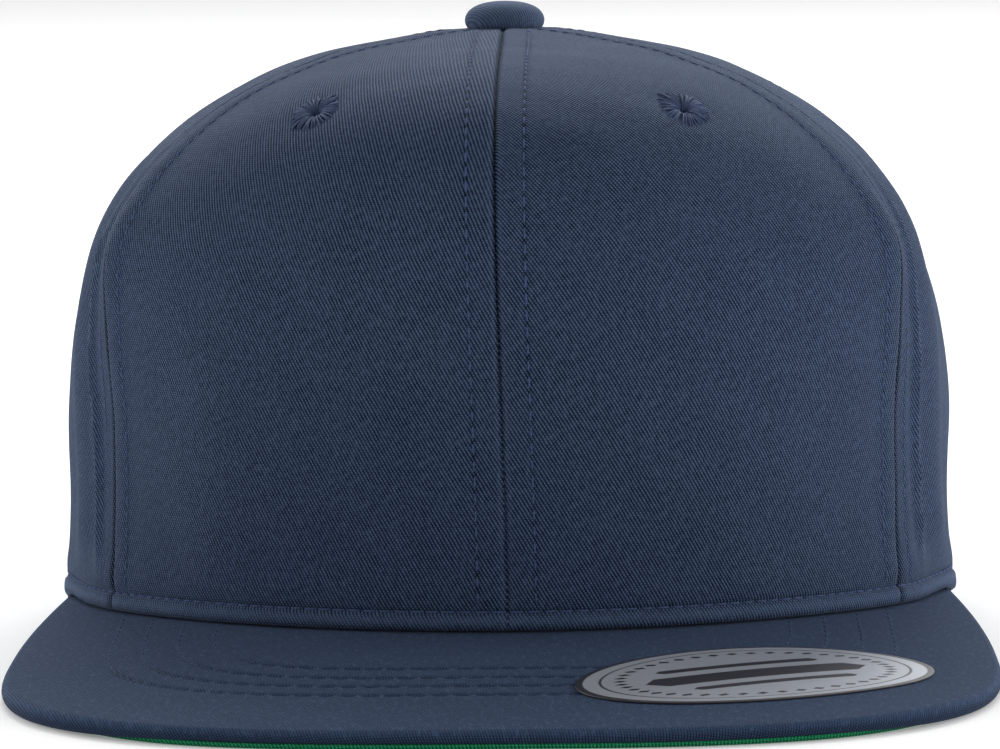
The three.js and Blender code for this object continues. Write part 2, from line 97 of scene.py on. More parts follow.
# Upright sections of the crown. rise is the share of the way from hem to top, and the other
# columns say how far the cloth reaches from the axis there, as a share of the hem ellipse.
COLUMNS = (
    "rise", "front", "front_middle", "side_front", "side_middle", "side_rear", "rear_middle", "rear",
)
SECTIONS = np.array([
    (0.000, 1.000, 1.000, 1.000, 1.000, 1.000, 1.000, 1.000),
    (0.167, 0.994, 0.995, 0.992, 0.990, 0.993, 0.994, 0.993),
    (0.334, 0.985, 0.989, 0.989, 0.990, 0.985, 0.982, 0.980),
    (0.491, 0.970, 0.983, 1.004, 0.962, 0.966, 0.957, 0.955),
    (0.634, 0.945, 0.958, 1.002, 0.896, 0.920, 0.903, 0.900),
    (0.747, 0.905, 0.905, 0.913, 0.820, 0.845, 0.820, 0.815),
    (0.835, 0.840, 0.828, 0.785, 0.712, 0.733, 0.705, 0.700),
    (0.899, 0.735, 0.712, 0.640, 0.585, 0.600, 0.575, 0.570),
    (0.943, 0.575, 0.555, 0.480, 0.455, 0.455, 0.440, 0.435),
    (0.971, 0.360, 0.355, 0.335, 0.295, 0.290, 0.280, 0.275),
    (1.000, 0.000, 0.000, 0.000, 0.000, 0.000, 0.000, 0.000),
])
LAST_SECTION = len(SECTIONS) - 1
TOP_PLACE = LAST_SECTION - TOP_HOLE_REACH / SECTIONS[LAST_SECTION - 1][COLUMNS.index("rear")]

# The three kinds of panel: seams in degrees from the middle of the front, section columns, eyelet
PANEL_KINDS = {
    "front": {"seams": (0.0, 58.0), "columns": ("front", "front_middle", "side_front"), "eyelet": 31.0},
    "side": {"seams": (58.0, 122.0), "columns": ("side_front", "side_middle", "side_rear"), "eyelet": 90.0},
    "rear": {"seams": (122.0, 180.0), "columns": ("side_rear", "rear_middle", "rear"), "eyelet": 149.0},
}
# Place in the section table at which the eyelets lie
EYELET_PLACE = 6.6

# Soft dents of the cloth: angle, height, spread in degrees, tall and depth in millimetres
DENTS = (
    (-74.0, 34.0, 7.0, 30.0, 1.5),
    (-98.0, 30.0, 14.0, 26.0, 1.0),
    (72.0, 30.0, 6.0, 34.0, 1.7),
    (92.0, 24.0, 9.0, 14.0, 1.2),
    (-46.0, 24.0, 9.0, 14.0, 0.8),
    (44.0, 22.0, 12.0, 14.0, 0.6),
    (140.0, 44.0, 12.0, 30.0, 1.4),
    (-146.0, 50.0, 14.0, 26.0, 1.4),
)


def smooth_step(low, high, value):
    """0 below low, 1 above high and a soft rise between them."""
    share = np.clip((value - low) / (high - low), 0, 1)
    return share * share * (3 - 2 * share)


def hump(value, middle, spread):
    """A soft hump, 1 at the middle and near 0 beyond twice its spread."""
    return np.exp(-(((value - middle) / spread) ** 2))


def section_value(column, place):
    """Smooth value of one column of the section table at a place between its rows."""
    values = SECTIONS[:, COLUMNS.index(column)]
    row = np.clip(np.floor(place).astype(int), 0, LAST_SECTION - 1)
    part = place - row
    before = np.where(row > 0, values[row - 1], 2 * values[0] - values[1])
    mirrored = values[-2] if column == "rise" else -values[-2]
    after = np.where(row + 2 <= LAST_SECTION, values[np.minimum(row + 2, LAST_SECTION)], mirrored)
    start = values[row]
    end = values[row + 1]
    square = 2 * before - 5 * start + 4 * end - after
    cube = 3 * start - before - 3 * end + after
    return start + 0.5 * part * (end - before + part * (square + part * cube))


def place_at_rise(rise):
    """Place in the section table at which the crown has risen by this share."""
    places = np.linspace(0, LAST_SECTION, 2001)
    return np.interp(rise, section_value("rise", places), places)


def crown_reach(angle, place):
    """Reach of the crown at an angle from the front: a parabola across each panel."""
    turned = np.abs((angle + 180) % 360 - 180)
    reach = np.zeros(np.broadcast(turned, place).shape)
    for kind in PANEL_KINDS.values():
        start, end = kind["seams"]
        first, middle, last = (section_value(column, place) for column in kind["columns"])
        across = (turned - start) / (end - start)
        curve = first + (last - first) * across + (middle - (first + last) / 2) * 4 * across * (1 - across)
        reach = np.where((turned >= start) & (turned <= end), curve, reach)
    return reach


def peak_top(x, y):
    """Height of the peak's top face; y is measured from the crown's axis."""
    forward = y + CROWN_HALF_LENGTH
    return PEAK_ROOT_HEIGHT + forward * (PEAK_FALL - PEAK_FLATTENING * x * x) - PEAK_ARCH * x * x


def hem_height(angle):
    """Hem of the crown: on the peak in front, a step down behind its tails, then down to the table."""
    x = CROWN_HALF_WIDTH * np.sin(np.radians(angle))
    y = -CROWN_HALF_LENGTH * np.cos(np.radians(angle))
    on_peak = peak_top(x, np.minimum(y, HEM_STEP_START_Y)) + HEM_GAP
    behind = HEM_SIDE_HEIGHT * (1 - smooth_step(-HEM_FLAT_Y, HEM_FLAT_Y, y)) * 2
    low = np.where(y > 0, behind, HEM_SIDE_HEIGHT)
    step = smooth_step(HEM_STEP_START_Y, HEM_STEP_END_Y, y)
    return on_peak * (1 - step) + low * step


def dent_depth(angle, height):
    """How far the soft dents press the cloth in."""
    return sum(
        deep * hump(angle, middle, spread) * hump(height, middle_height, tall)
        for middle, middle_height, spread, tall, deep in DENTS
    )


def crown_point(angle, place, inset=0.0):
    """Points of the crown, in millimetres; inset is how far they lie under the outer face."""
    angle, place = np.broadcast_arrays(np.asarray(angle, float), np.asarray(place, float))
    sine = np.sin(np.radians(angle))
    cosine = np.cos(np.radians(angle))
    rise = section_value("rise", place)
    hem = hem_height(angle)
    reach = crown_reach(angle, place)
    top = CROWN_HEIGHT + CROWN_LEAN * (CROWN_HALF_LENGTH + CROWN_HALF_LENGTH * cosine * reach)
    height = hem + (top - hem) * rise
    sunk = inset + dent_depth(angle, height) * (1 - rise)
    x = (CROWN_HALF_WIDTH - sunk) * sine * reach
    y = CROWN_Y - (CROWN_HALF_LENGTH - sunk) * cosine * reach
    return np.stack([x, y, height - inset * rise], axis=-1)


def unit(vectors):
    """Vectors made one long."""
    return vectors / np.maximum(np.linalg.norm(vectors, axis=-1, keepdims=True), 1e-9)


def travelled(points):
    """Distance along a line of points up to each of them."""
    steps = np.linalg.norm(np.diff(points, axis=0), axis=1)
    return np.concatenate([[0.0], np.cumsum(steps)])


def at_distance(points, distances):
    """Points of a line, or what else goes with them, at these distances along it."""
    way = travelled(points)
    return np.stack([np.interp(distances, way, points[:, axis]) for axis in range(points.shape[1])], axis=-1)


# Mesh helpers

# Edges that turn by more than this stay sharp in smooth shading
SHARP_TURN = math.radians(50)


def read(items, name):
    """Three numbers of every corner or face of a mesh."""
    values = np.empty(len(items) * 3, np.float32)
    items.foreach_get(name, values)
    return values.reshape(-1, 3).astype(float)


def write(items, name, values):
    """Sets three numbers of every corner of a mesh."""
    items.foreach_set(name, values.astype(np.float32).ravel())


def corners_of(piece):
    """Corner places of a mesh, in metres."""
    return read(piece.data.vertices, "co")


def place_corners(piece, corners):
    """Moves the corners of a mesh, in metres."""
    write(piece.data.vertices, "co", corners)
    piece.data.update()


def keep(piece, name, values):
    """Keeps three numbers for every corner of a mesh as an attribute of that name."""
    attribute = piece.data.attributes.get(name) or piece.data.attributes.new(name, "FLOAT_VECTOR", "POINT")
    write(attribute.data, "vector", values)


def kept(piece, name):
    """The three numbers that each corner keeps under that name."""
    return read(piece.data.attributes[name].data, "vector")


def only(piece):
    """Selects this piece and nothing else."""
    bpy.ops.object.select_all(action="DESELECT")
    piece.select_set(True)
    bpy.context.view_layer.objects.active = piece


@contextmanager
def editing(piece, select="SELECT"):
    """Edit mode on one piece, with all of it selected, or none, or what was."""
    only(piece)
    bpy.ops.object.mode_set(mode="EDIT")
    if select:
        bpy.ops.mesh.select_all(action=select)
    yield
    bpy.ops.object.mode_set(mode="OBJECT")


def add(primitive, name, **settings):
    """Adds a primitive mesh by its operator, under a name."""
    bpy.ops.object.select_all(action="DESELECT")
    primitive(**settings)
    piece = bpy.context.active_object
    piece.name = name
    piece.data.name = name
    return piece


def grid_piece(name, points, weave, inner=None):
    """A grid whose corners are moved to points, an array of rows, columns and x y z. The corners keep
    their weave, which is their place in the flat cloth, in millimetres, and a third number that paints
    the cloth paler, as rubbing and painted highlight, and darker, as painted shade."""
    rows, columns = points.shape[:2]
    piece = add(
        bpy.ops.mesh.primitive_grid_add, name, x_subdivisions=columns - 1, y_subdivisions=rows - 1, size=1
    )
    corners = corners_of(piece)
    column = np.rint((corners[:, 0] + 0.5) * (columns - 1)).astype(int)
    row = np.rint((corners[:, 1] + 0.5) * (rows - 1)).astype(int)
    place_corners(piece, points[row, column] * MM)
    keep(piece, "weave", weave[row, column])
    if inner is not None:
        keep(piece, "inner", inner[row, column])
    return piece


def apply_modifier(piece, kind, **settings):
    """Adds a modifier, sets it up and applies it."""
    only(piece)
    modifier = piece.modifiers.new(kind.lower(), kind)
    for key, value in settings.items():
        setattr(modifier, key, value)
    bpy.ops.object.modifier_apply(modifier=modifier.name)


def thicken(piece, thickness):
    """Gives cloth its thickness, inwards from the face that it has; the thickness is in millimetres."""
    apply_modifier(piece, "SOLIDIFY", thickness=thickness * MM, offset=-1, use_even_offset=False)


def bevel(piece, width, segments):
    """Rounds the sharp edges over this width, in millimetres."""
    apply_modifier(piece, "BEVEL", width=width * MM, segments=segments, limit_method="ANGLE")


def back_with_inner_face(piece, thickness):
    """Gives the cloth its thickness, and lays its inner face where the corners keep it."""
    thicken(piece, thickness)
    corners = corners_of(piece)
    half = len(corners) // 2
    corners[half:] = kept(piece, "inner")[half:] * MM
    place_corners(piece, corners)
    weave = kept(piece, "weave")
    weave[half:, 2] = 0
    keep(piece, "weave", weave)
    piece.data.attributes.remove(piece.data.attributes["inner"])


def close_up(piece):
    """Merges the doubles, closes the open ends and turns all faces outwards."""
    with editing(piece):
        bpy.ops.mesh.remove_doubles(threshold=1e-6)
        bpy.ops.mesh.select_all(action="SELECT")
        bpy.ops.mesh.fill_holes(sides=0)
        bpy.ops.mesh.select_all(action="SELECT")
        bpy.ops.mesh.normals_make_consistent(inside=False)


def remove_faces(piece, gone):
    """Deletes the faces for which gone is true."""
    with editing(piece, "DESELECT"):
        bpy.ops.mesh.select_mode(type="FACE")
    piece.data.polygons.foreach_set("select", gone)
    with editing(piece, None):
        bpy.ops.mesh.delete(type="FACE")


def extruded(name, sides, axis, rings):
    """A round solid along x or z, through rings of radius and centre."""
    radius, centre = rings[0]
    turn = (0, math.pi / 2, 0) if axis == "x" else (0, 0, 0)
    piece = add(bpy.ops.mesh.primitive_circle_add, name, vertices=sides, radius=radius, rotation=turn)
    bpy.ops.object.transform_apply(rotation=True)
    with editing(piece):
        bpy.ops.mesh.select_mode(type="VERT")
        bpy.ops.transform.translate(value=centre)
        for next_radius, next_centre in rings[1:]:
            move = tuple(np.subtract(next_centre, centre))
            bpy.ops.mesh.extrude_edges_move(TRANSFORM_OT_translate={"value": move})
            share = next_radius / radius
            bpy.ops.transform.resize(value=(1, share, share) if axis == "x" else (share, share, 1))
            radius, centre = next_radius, next_centre
    close_up(piece)
    return piece


def lathe(name, profile, sides):
    """A round solid about the z axis, through a profile of radius and height in millimetres."""
    return extruded(name, sides, "z", [(radius * MM, (0, 0, height * MM)) for radius, height in profile])


def joined_copies(name, model, frames):
    """One mesh of many copies of a model, each set in its own frame of three axes and a place."""
    corners = corners_of(model)
    faces = [tuple(polygon.vertices) for polygon in model.data.polygons]
    bpy.data.objects.remove(model)
    all_corners = []
    all_faces = []
    for index, (along, across, out, place) in enumerate(frames):
        all_corners.append(corners @ np.stack([along, across, out]) + np.asarray(place) * MM)
        start = index * len(corners)
        all_faces.extend(tuple(start + corner for corner in face) for face in faces)
    mesh = bpy.data.meshes.new(name)
    mesh.from_pydata(np.concatenate(all_corners).tolist(), [], all_faces)
    piece = bpy.data.objects.new(name, mesh)
    bpy.context.scene.collection.objects.link(piece)
    return piece


def finish_piece(piece, look, slot, *nodes):
    """Smooth shading, material, body, and hides the nodes that the piece stands for. The slot is not used.
    """
    only(piece)
    bpy.ops.object.shade_smooth_by_angle(angle=SHARP_TURN)
    piece.data.materials.clear()
    piece.data.materials.append(look)
    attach(piece, "root")
    if nodes:
        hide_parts(*nodes)
    return piece


# Shader helpers

class Value:
    """A shader socket that takes part in plain arithmetic."""

    def __init__(self, look, socket):
        self.look = look
        self.socket = socket

    def __add__(self, other):
        return self.look.math("ADD", self, other)

    def __radd__(self, other):
        return self.look.math("ADD", other, self)

    def __sub__(self, other):
        return self.look.math("SUBTRACT", self, other)

    def __rsub__(self, other):
        return self.look.math("SUBTRACT", other, self)

    def __mul__(self, other):
        return self.look.math("MULTIPLY", self, other)

    def __rmul__(self, other):
        return self.look.math("MULTIPLY", other, self)

    def __truediv__(self, other):
        return self.look.math("DIVIDE", self, other)


class Look:
    """A material, and short ways to add its nodes."""

    def __init__(self, name, world=None):
        self.material = world or bpy.data.materials.new(name)
        self.material.use_nodes = True
        self.tree = self.material.node_tree
        self.tree.nodes.clear()

    def node(self, kind, settings=None, inputs=None):
        """Adds a node, sets it up, then fills its sockets with numbers or links."""
        made = self.tree.nodes.new(kind)
        for key, value in (settings or {}).items():
            setattr(made, key, value)
        for key, value in (inputs or {}).items():
            if isinstance(value, Value):
                self.tree.links.new(value.socket, made.inputs[key])
            else:
                made.inputs[key].default_value = value
        return made

    def math(self, operation, *values):
        made = self.node("ShaderNodeMath", {"operation": operation}, dict(enumerate(values)))
        return Value(self, made.outputs[0])

    def mix(self, share, low, high):
        """A colour between two."""
        made = self.node("ShaderNodeMix", {"data_type": "RGBA"}, {0: share, 6: low, 7: high})
        return Value(self, made.outputs[2])

    def separate(self, vector):
        """The three numbers of a vector."""
        made = self.node("ShaderNodeSeparateXYZ", None, {0: vector})
        return [Value(self, made.outputs[axis]) for axis in range(3)]

    def attribute(self, name):
        """The three numbers of a mesh attribute."""
        source = self.node("ShaderNodeAttribute", {"attribute_name": name})
        return self.separate(Value(self, source.outputs["Vector"]))

    def combine(self, x, y, z):
        made = self.node("ShaderNodeCombineXYZ", None, {0: x, 1: y, 2: z})
        return Value(self, made.outputs[0])

    def noise(self, vector, scale, detail=2.0, roughness=0.5):
        inputs = {"Scale": scale, "Detail": detail, "Roughness": roughness, "Vector": vector}
        return Value(self, self.node("ShaderNodeTexNoise", None, inputs).outputs["Fac"])

    def object_place(self):
        return Value(self, self.node("ShaderNodeTexCoord").outputs["Object"])

    def bump(self, height, distance, strength=1.0):
        inputs = {"Height": height, "Distance": distance, "Strength": strength}
        return Value(self, self.node("ShaderNodeBump", None, inputs).outputs["Normal"])

    def clamp(self, value, low=0.0, high=1.0):
        made = self.node("ShaderNodeClamp", None, {"Value": value, "Min": low, "Max": high})
        return Value(self, made.outputs[0])

    def finish(self, **inputs):
        """The surface shader, whose sockets are named with underscores for spaces."""
        named = {key.replace("_", " "): value for key, value in inputs.items()}
        shader = self.node("ShaderNodeBsdfPrincipled", None, named)
        output = self.node("ShaderNodeOutputMaterial")
        self.tree.links.new(shader.outputs[0], output.inputs[0])
        return self.material


def toned(color, share, more=0.0):
    """A colour made darker or lighter."""
    return [min(1.0, channel * share + more) for channel in color[:3]] + [1.0]


# Length over which one thread of twill floats, in millimetres
FLOAT_LENGTH = 0.52
# Tint of the nap on cloth and on thread
CLOTH_TINT = (0.62, 0.72, 0.95, 1.0)
THREAD_TINT = (0.6, 0.68, 0.95, 1.0)


def twill(look, u, v, pitch, lean):
    """Height of the diagonal ribs of twill, from 0 to 1, and a number that differs from rib to rib."""
    sine = math.sin(lean)
    cosine = math.cos(lean)
    wobble = look.noise(look.combine(u, v, 0.0), 0.25, 1.0) - 0.5
    across = (u * cosine + v * sine) / pitch + wobble * 0.4
    along = (v * cosine - u * sine) / FLOAT_LENGTH
    rib = look.math("COSINE", across * math.tau) * 0.5 + 0.5
    number = look.math("FLOOR", across + 0.5)
    weft = math.tan(lean) * pitch / FLOAT_LENGTH
    bead = look.math("COSINE", (along + number * weft) * math.tau) * 0.5 + 0.5
    slub = look.noise(look.combine(number * 0.71, along * 0.45, 0.0), 1.0, 1.0)
    return rib * (bead * 0.58 + 0.42), slub


def twill_look(name, cloth, rib_color, gap_color, lean, relief, sheen=1.0, pitch=1.0, nap=0.1):
    """Cotton twill: light ribs, dark gaps, uneven yarn, lint, pale rubbed places and painted highlights, and
    painted shade.
    sheen and pitch are shares of the cloth's own."""
    look = Look(name)
    u, v, wear_and_painted_light = look.attribute("weave")
    flat = look.combine(u, v, 0.0)
    height, slub = twill(look, u, v, pitch * cloth.pitch / MM, lean)
    patch = look.noise(flat, 0.09, 3.0)
    light = look.clamp(height * 1.25 + (slub - 0.5) * 0.7 + (patch - 0.5) * 0.2)
    plain = look.mix(light, gap_color, rib_color)
    lint = look.clamp(look.noise(look.combine(u, v * 0.3, 0.0), 1.1, 4.0, 0.8) * 7.0 - 3.6)
    # Paler where the weave's third number is above 0: partly rubbing and lint, partly painted highlight
    faded_and_lit = look.clamp(look.clamp(wear_and_painted_light) * 0.5 + lint * nap)
    color = look.mix(faded_and_lit, plain, toned(rib_color, 1.5, 0.01))
    # Painted shade where the weave's third number is below 0, darkest between the ribs
    shaded = look.clamp((0.0 - wear_and_painted_light) * (1.5 - height * 1.4))
    fuzz = look.noise(flat, 3.0, 3.0)
    return look.finish(
        Base_Color=look.mix(shaded, color, toned(gap_color, 0.5)),
        Roughness=look.clamp(0.95 - height * 0.12),
        Normal=look.bump(height + fuzz * 0.25, relief),
        Specular_IOR_Level=0.1,
        Sheen_Weight=sheen * cloth.sheen,
        Sheen_Roughness=0.3,
        Sheen_Tint=CLOTH_TINT,
    )


def thread_look(name, color):
    """Sewing thread with a fine twist."""
    look = Look(name)
    place = look.object_place()
    twist = look.noise(place, 2600.0, 2.0)
    shade = look.noise(place, 160.0, 2.0)
    light = look.clamp(twist * 0.7 + shade * 0.5 - 0.1)
    return look.finish(
        Base_Color=look.mix(light, toned(color, 0.55), toned(color, 1.3)),
        Roughness=look.clamp(0.65 + (shade - 0.5) * 0.3),
        Normal=look.bump(twist, 0.00006),
        Specular_IOR_Level=0.08,
        Sheen_Weight=0.06,
        Sheen_Roughness=0.3,
        Sheen_Tint=THREAD_TINT,
    )


def plastic_look(name, color):
    """Moulded plastic with a fine grain and faint rubbing."""
    look = Look(name)
    place = look.object_place()
    grain = look.noise(place, 1400.0, 3.0)
    rub = look.noise(place, 70.0, 4.0, 0.65)
    return look.finish(
        Base_Color=look.mix(look.clamp(rub * 1.4 - 0.45), color, toned(color, 1.5, 0.006)),
        Roughness=look.clamp(0.38 + rub * 0.2),
        Normal=look.bump(grain + rub * 0.4, 0.00003),
    )


# Print of the sticker: number of lozenges, where their ring, the thin line and the rim lie as shares
# of the oval, and the bars' places across it, half widths and half lengths in millimetres
LOZENGES = 44.0
LOZENGE_RING = 0.755
LINE_RING = 0.865
RIM_RING = 0.955
BARS = ((0.0, 2.8, 23.0), (6.6, 1.1, 17.0), (-6.6, 1.1, 17.0))
# Half the height of a lozenge as a share of the oval, and how fast it narrows round the ring
LOZENGE_HALF = 0.042
LOZENGE_TAPER = 0.13


def foil_look(name, silver, ink, half_length, half_width):
    """Silver foil printed with a rim, a ring of lozenges and three plain bars."""
    look = Look(name)
    u, v, _ = look.attribute("weave")
    spot_x = u / half_length
    spot_y = v / half_width
    radius = look.math("SQRT", spot_x * spot_x + spot_y * spot_y)
    turn = look.math("ARCTAN2", spot_y, spot_x) / math.tau

    def band(value, middle, half, soft):
        distance = look.math("ABSOLUTE", value - middle)
        return look.clamp((half - distance) / soft + 0.5)

    part = look.math("FRACT", turn * LOZENGES + (LOZENGES + 0.5)) - 0.5
    lozenge = look.math("ABSOLUTE", part) * LOZENGE_TAPER + look.math("ABSOLUTE", radius - LOZENGE_RING)
    marks = look.clamp((LOZENGE_HALF - lozenge) / 0.012 + 0.5)
    rim = look.clamp((radius - RIM_RING) / 0.008)
    line = band(radius, LINE_RING, 0.008, 0.01)
    printed = look.math("MAXIMUM", look.math("MAXIMUM", rim, line), marks)
    for middle, half, length in BARS:
        taper = look.math("ABSOLUTE", u) + look.math("ABSOLUTE", v - middle) * 1.2
        bar = band(v, middle, half, 0.3) * look.clamp((length - taper) / 0.3 + 0.5)
        printed = look.math("MAXIMUM", printed, bar)
    brushed = look.noise(look.combine(u * 0.12, v * 4.0, 0.0), 1.0, 3.0)
    cloud = look.noise(look.combine(u, v, 0.0), 0.06, 2.0)
    metal = look.mix(look.clamp(brushed * 0.5 + cloud * 0.6 - 0.05), toned(silver, 0.8), silver)
    return look.finish(
        Base_Color=look.mix(printed, metal, ink),
        Metallic=0.45 * (1.0 - printed),
        Roughness=look.clamp(0.36 + brushed * 0.16),
        Normal=look.bump(brushed * 0.5 + printed * 0.5, 0.00002),
    )


# Property groups

def color_setting(name, description, *color):
    """A colour."""
    return bpy.props.FloatVectorProperty(
        name=name, description=description, subtype="COLOR", size=4, min=0, max=1, default=(*color, 1.0),
    )


def length_setting(name, description, default, low, high):
    """A length in metres."""
    return bpy.props.FloatProperty(
        name=name, description=description, unit="LENGTH", default=default, min=low, max=high, precision=5,
    )


def angle_setting(name, description, default):
    """An angle, which the panel shows in degrees."""
    return bpy.props.FloatProperty(
        name=name, description=description, subtype="ANGLE", default=default, min=-math.pi, max=math.pi,
    )


def number_setting(name, description, default, high, subtype="NONE"):
    """A number from 0 up to high."""
    return bpy.props.FloatProperty(
        name=name, description=description, subtype=subtype, default=default, min=0, max=high,
    )


class CapCloth(bpy.types.PropertyGroup):
    """Colours and weave of the cloth."""

    rib: color_setting("Rib", "Colour of the twill's ribs", 0.077, 0.117, 0.203)
    gap: color_setting("Gap", "Colour between the ribs", 0.003, 0.008, 0.026)
    # The peak is the crown's navy cloth; its colours are darker on the whole as painted shade
    peak_rib_shaded: color_setting("Peak rib", "Colour of the ribs on the peak", 0.041, 0.071, 0.134)
    peak_gap: color_setting("Peak gap", "Colour between the ribs on the peak", 0.017, 0.031, 0.067)
    # The button is covered with the crown's navy cloth; its colours are paler as painted light
    button_rib_lit: color_setting("Button rib", "Colour of the ribs on the button", 0.092, 0.132, 0.222)
    button_gap_lit: color_setting("Button gap", "Colour between the ribs on the button", 0.038, 0.056, 0.102)
    under: color_setting("Under-peak", "Colour of the cloth under the peak", 0.030, 0.370, 0.165)
    under_gap: color_setting("Under-peak gap", "Colour between the ribs there", 0.006, 0.130, 0.055)
    band: color_setting("Sweatband", "Colour of the band inside the hem", 0.036, 0.052, 0.092)
    pitch: length_setting("Rib pitch", "Distance from one rib to the next", 0.00062, 0.0002, 0.002)
    lean: angle_setting("Rib lean", "Angle of the ribs from a panel's middle line", math.radians(30))
    peak_lean: angle_setting(
        "Rib lean on the peak", "Angle of the ribs from the peak's middle line", math.radians(14),
    )
    thickness: length_setting("Cloth", "Thickness of a crown panel", CLOTH * MM, 0.0005, 0.003)
    sheen: number_setting("Sheen", "How pale the cloth's nap is at a glancing angle", 0.2, 1, "FACTOR")


class CapSewing(bpy.types.PropertyGroup):
    """Threads, seams and hem."""

    thread: color_setting("Thread", "Colour of the sewing thread", 0.066, 0.098, 0.205)
    # Darker than the crown's thread as painted shade in the rows' channels
    peak_thread: color_setting("Peak thread", "Colour of the thread on the peak", 0.034, 0.058, 0.112)
    eyelet: color_setting("Eyelet thread", "Colour of the thread round the holes", 0.060, 0.086, 0.170)
    under_thread: color_setting("Under thread", "Colour of the thread under the peak", 0.012, 0.200, 0.075)
    width: length_setting("Thread width", "Width of a stitch", 0.00042, 0.0001, 0.001)
    crown_pitch: length_setting(
        "Crown stitch", "Length of a stitch and its gap on the crown", 0.003, 0.001, 0.006,
    )
    peak_pitch: length_setting(
        "Peak stitch", "Length of a stitch and its gap on the peak", 0.004, 0.001, 0.008,
    )
    from_seam: length_setting(
        "From the seam", "Distance from a seam to the row beside it", 0.0053, 0.002, 0.01,
    )
    hem_roll: length_setting(
        "Hem roll", "Height of the rolled hem below its row of stitches", 0.0034, 0.001, 0.008,
    )


class CapTrim(bpy.types.PropertyGroup):
    """Sticker and strap."""

    silver: color_setting("Foil", "Colour of the oval sticker", 0.46, 0.485, 0.53)
    ink: color_setting("Ink", "Colour of the sticker's rim and marks", 0.022, 0.020, 0.026)
    strap: color_setting("Strap", "Colour of the plastic strap", 0.018, 0.028, 0.052)
    sticker_length: length_setting("Sticker length", "Long way across the oval", 0.071, 0.02, 0.09)
    sticker_width: length_setting("Sticker width", "Short way across the oval", 0.039, 0.01, 0.05)
    sticker_turn: angle_setting(
        "Sticker turn", "Turn of the oval's long way from straight across", math.radians(30.5),
    )


class CapStage(bpy.types.PropertyGroup):
    """Floor, lights and camera."""

    floor: color_setting("Floor", "Colour of the floor and backdrop", 0.93, 0.93, 0.93)
    glow: number_setting("Floor glow", "Faint light of the floor itself, which keeps it pale", 0.2, 1)
    behind: number_setting("Behind", "Brightness of the white surroundings behind the cap", 1.55, 5)
    before: number_setting("Before", "Brightness of the surroundings on the camera's side", 0.27, 5)
    sideways: number_setting("Sideways", "How far the bright part reaches round the sides", 0.8, 2)
    overhead: number_setting("Overhead", "How much dimmer the surroundings are overhead", 0.8, 2)
    front_power: number_setting("Front light", "Power of the low light in front", 4.5, 500, "POWER")
    top_power: number_setting("Top light", "Power of the light above and behind", 26.0, 500, "POWER")
    left_power: number_setting("Left light", "Power of the light on the left", 2.0, 500, "POWER")
    right_power: number_setting("Right light", "Power of the light on the right", 3.0, 500, "POWER")
    distance: length_setting("Camera distance", "From the crown's axis to the camera", 1.2, 0.3, 5)
    height: length_setting("Camera height", "Height of the camera over the table", 0.1701, 0.01, 1)
    turn: angle_setting("Camera turn", "Turn of the camera to the wearer's left", math.radians(0.95))
    roll: angle_setting("Camera roll", "How far the camera leans over to its right", 0.0105)
    lens: number_setting("Lens", "Focal length in millimetres for a film 36 mm wide", 219.3, 500)


# Rear opening: straight sides and a round arch, over the strap
OPENING_HALF_WIDTH = 36.0
OPENING_SIDE_HEIGHT = 16.0


def from_opening(x, z):
    """How far a point lies outside the opening's edge; it is below 0 inside."""
    above = np.maximum(z - OPENING_SIDE_HEIGHT, 0)
    return np.hypot(x, above) - OPENING_HALF_WIDTH


# Crown

# Grid lines of a panel, in millimetres: their distances from a seam, and those of the rows from the
# hem. Beyond them half a panel has more lines, further apart towards its middle, and the rows go on
# evenly to the top.
SEAM_LINES = np.array([0, 0.12, 0.3, 0.55, 0.9, 1.4, 2.1, 3, 3.9, 4.5, 4.9, 5.2, 5.5, 5.9, 6.5, 7.5, 9])
HEM_LINES = np.array([0, 0.1, 0.25, 0.45, 0.7, 1, 1.4, 1.9, 2.4, 2.8, 3.1, 3.3, 3.5, 3.7, 4, 4.5, 5.2, 6])
MIDDLE_LINES = 26
MIDDLE_SPREAD = 1.4
ROW_STEP = 0.9
# Where half a panel is narrower than this, the lines beside its seams move closer together
SEAM_ZONE = 13.0

# How the cloth lies beside a seam: how far it reaches into its neighbour, depth of the fold,
# height of the layers under it and depth of the row
SEAM_TUCK = 0.05
SEAM_DEPTH = 0.85
SEAM_RIDGE = 0.28
ROW_DEPTH = 0.3
# The same height and depth at a front panel's outer seam, where the layers are folded forwards
FOLDED_RIDGE = 0.5
FOLDED_ROW_DEPTH = 0.1
# How far from the seam the cloth turns down into it, how far on a side panel's front edge, and the
# power of the curve by which it does so
FOLD_WIDTH = 0.45
TURNED_WIDTH = 0.95
FOLD_POWER = 1.3
# The layers have risen this far from the seam, and end between these two distances beyond the row
LAYERS_START = 0.9
LAYERS_END = (-2.6, 2.2)
# Mean depth of a row between its stitches, as a share, and how far its channel spreads
MEAN_PULL = 0.75
ROW_SPREAD = 0.5
# Share of the seams' relief on the hem, how much of it is gone at the top, and the distances from
# the top between which it goes
HEM_SHARE = 0.25
TOP_LOSS = 0.6
TOP_LOSS_START = 22
TOP_LOSS_END = 8
# A seam's strip of cloth reaches this far from it
STRIP = 12.0
# The middle seam is this share as deep low down, up to the first height, and whole over the second
MIDDLE_SEAM_SHARE = 0.35
MIDDLE_SEAM_HEIGHTS = (25, 75)
# Height over the hem at which the relief of the seams and the cloth starts, and over how much it rises
RELIEF_STARTS = 3.6
RELIEF_RISE = 3.0
# Painted shade in the fold at a seam, low down and high up: on a side panel's front edge and on the others
TURNED_SHADES = (1.4, 2.0)
SEAM_SHADES = (0.35, 0.85)
# Heights between which it changes, and how far from the seam it reaches on both kinds of edge
SHADE_HEIGHTS = (15, 70)
TURNED_SHADE_WIDTH = 1.5
SEAM_SHADE_WIDTH = 0.3
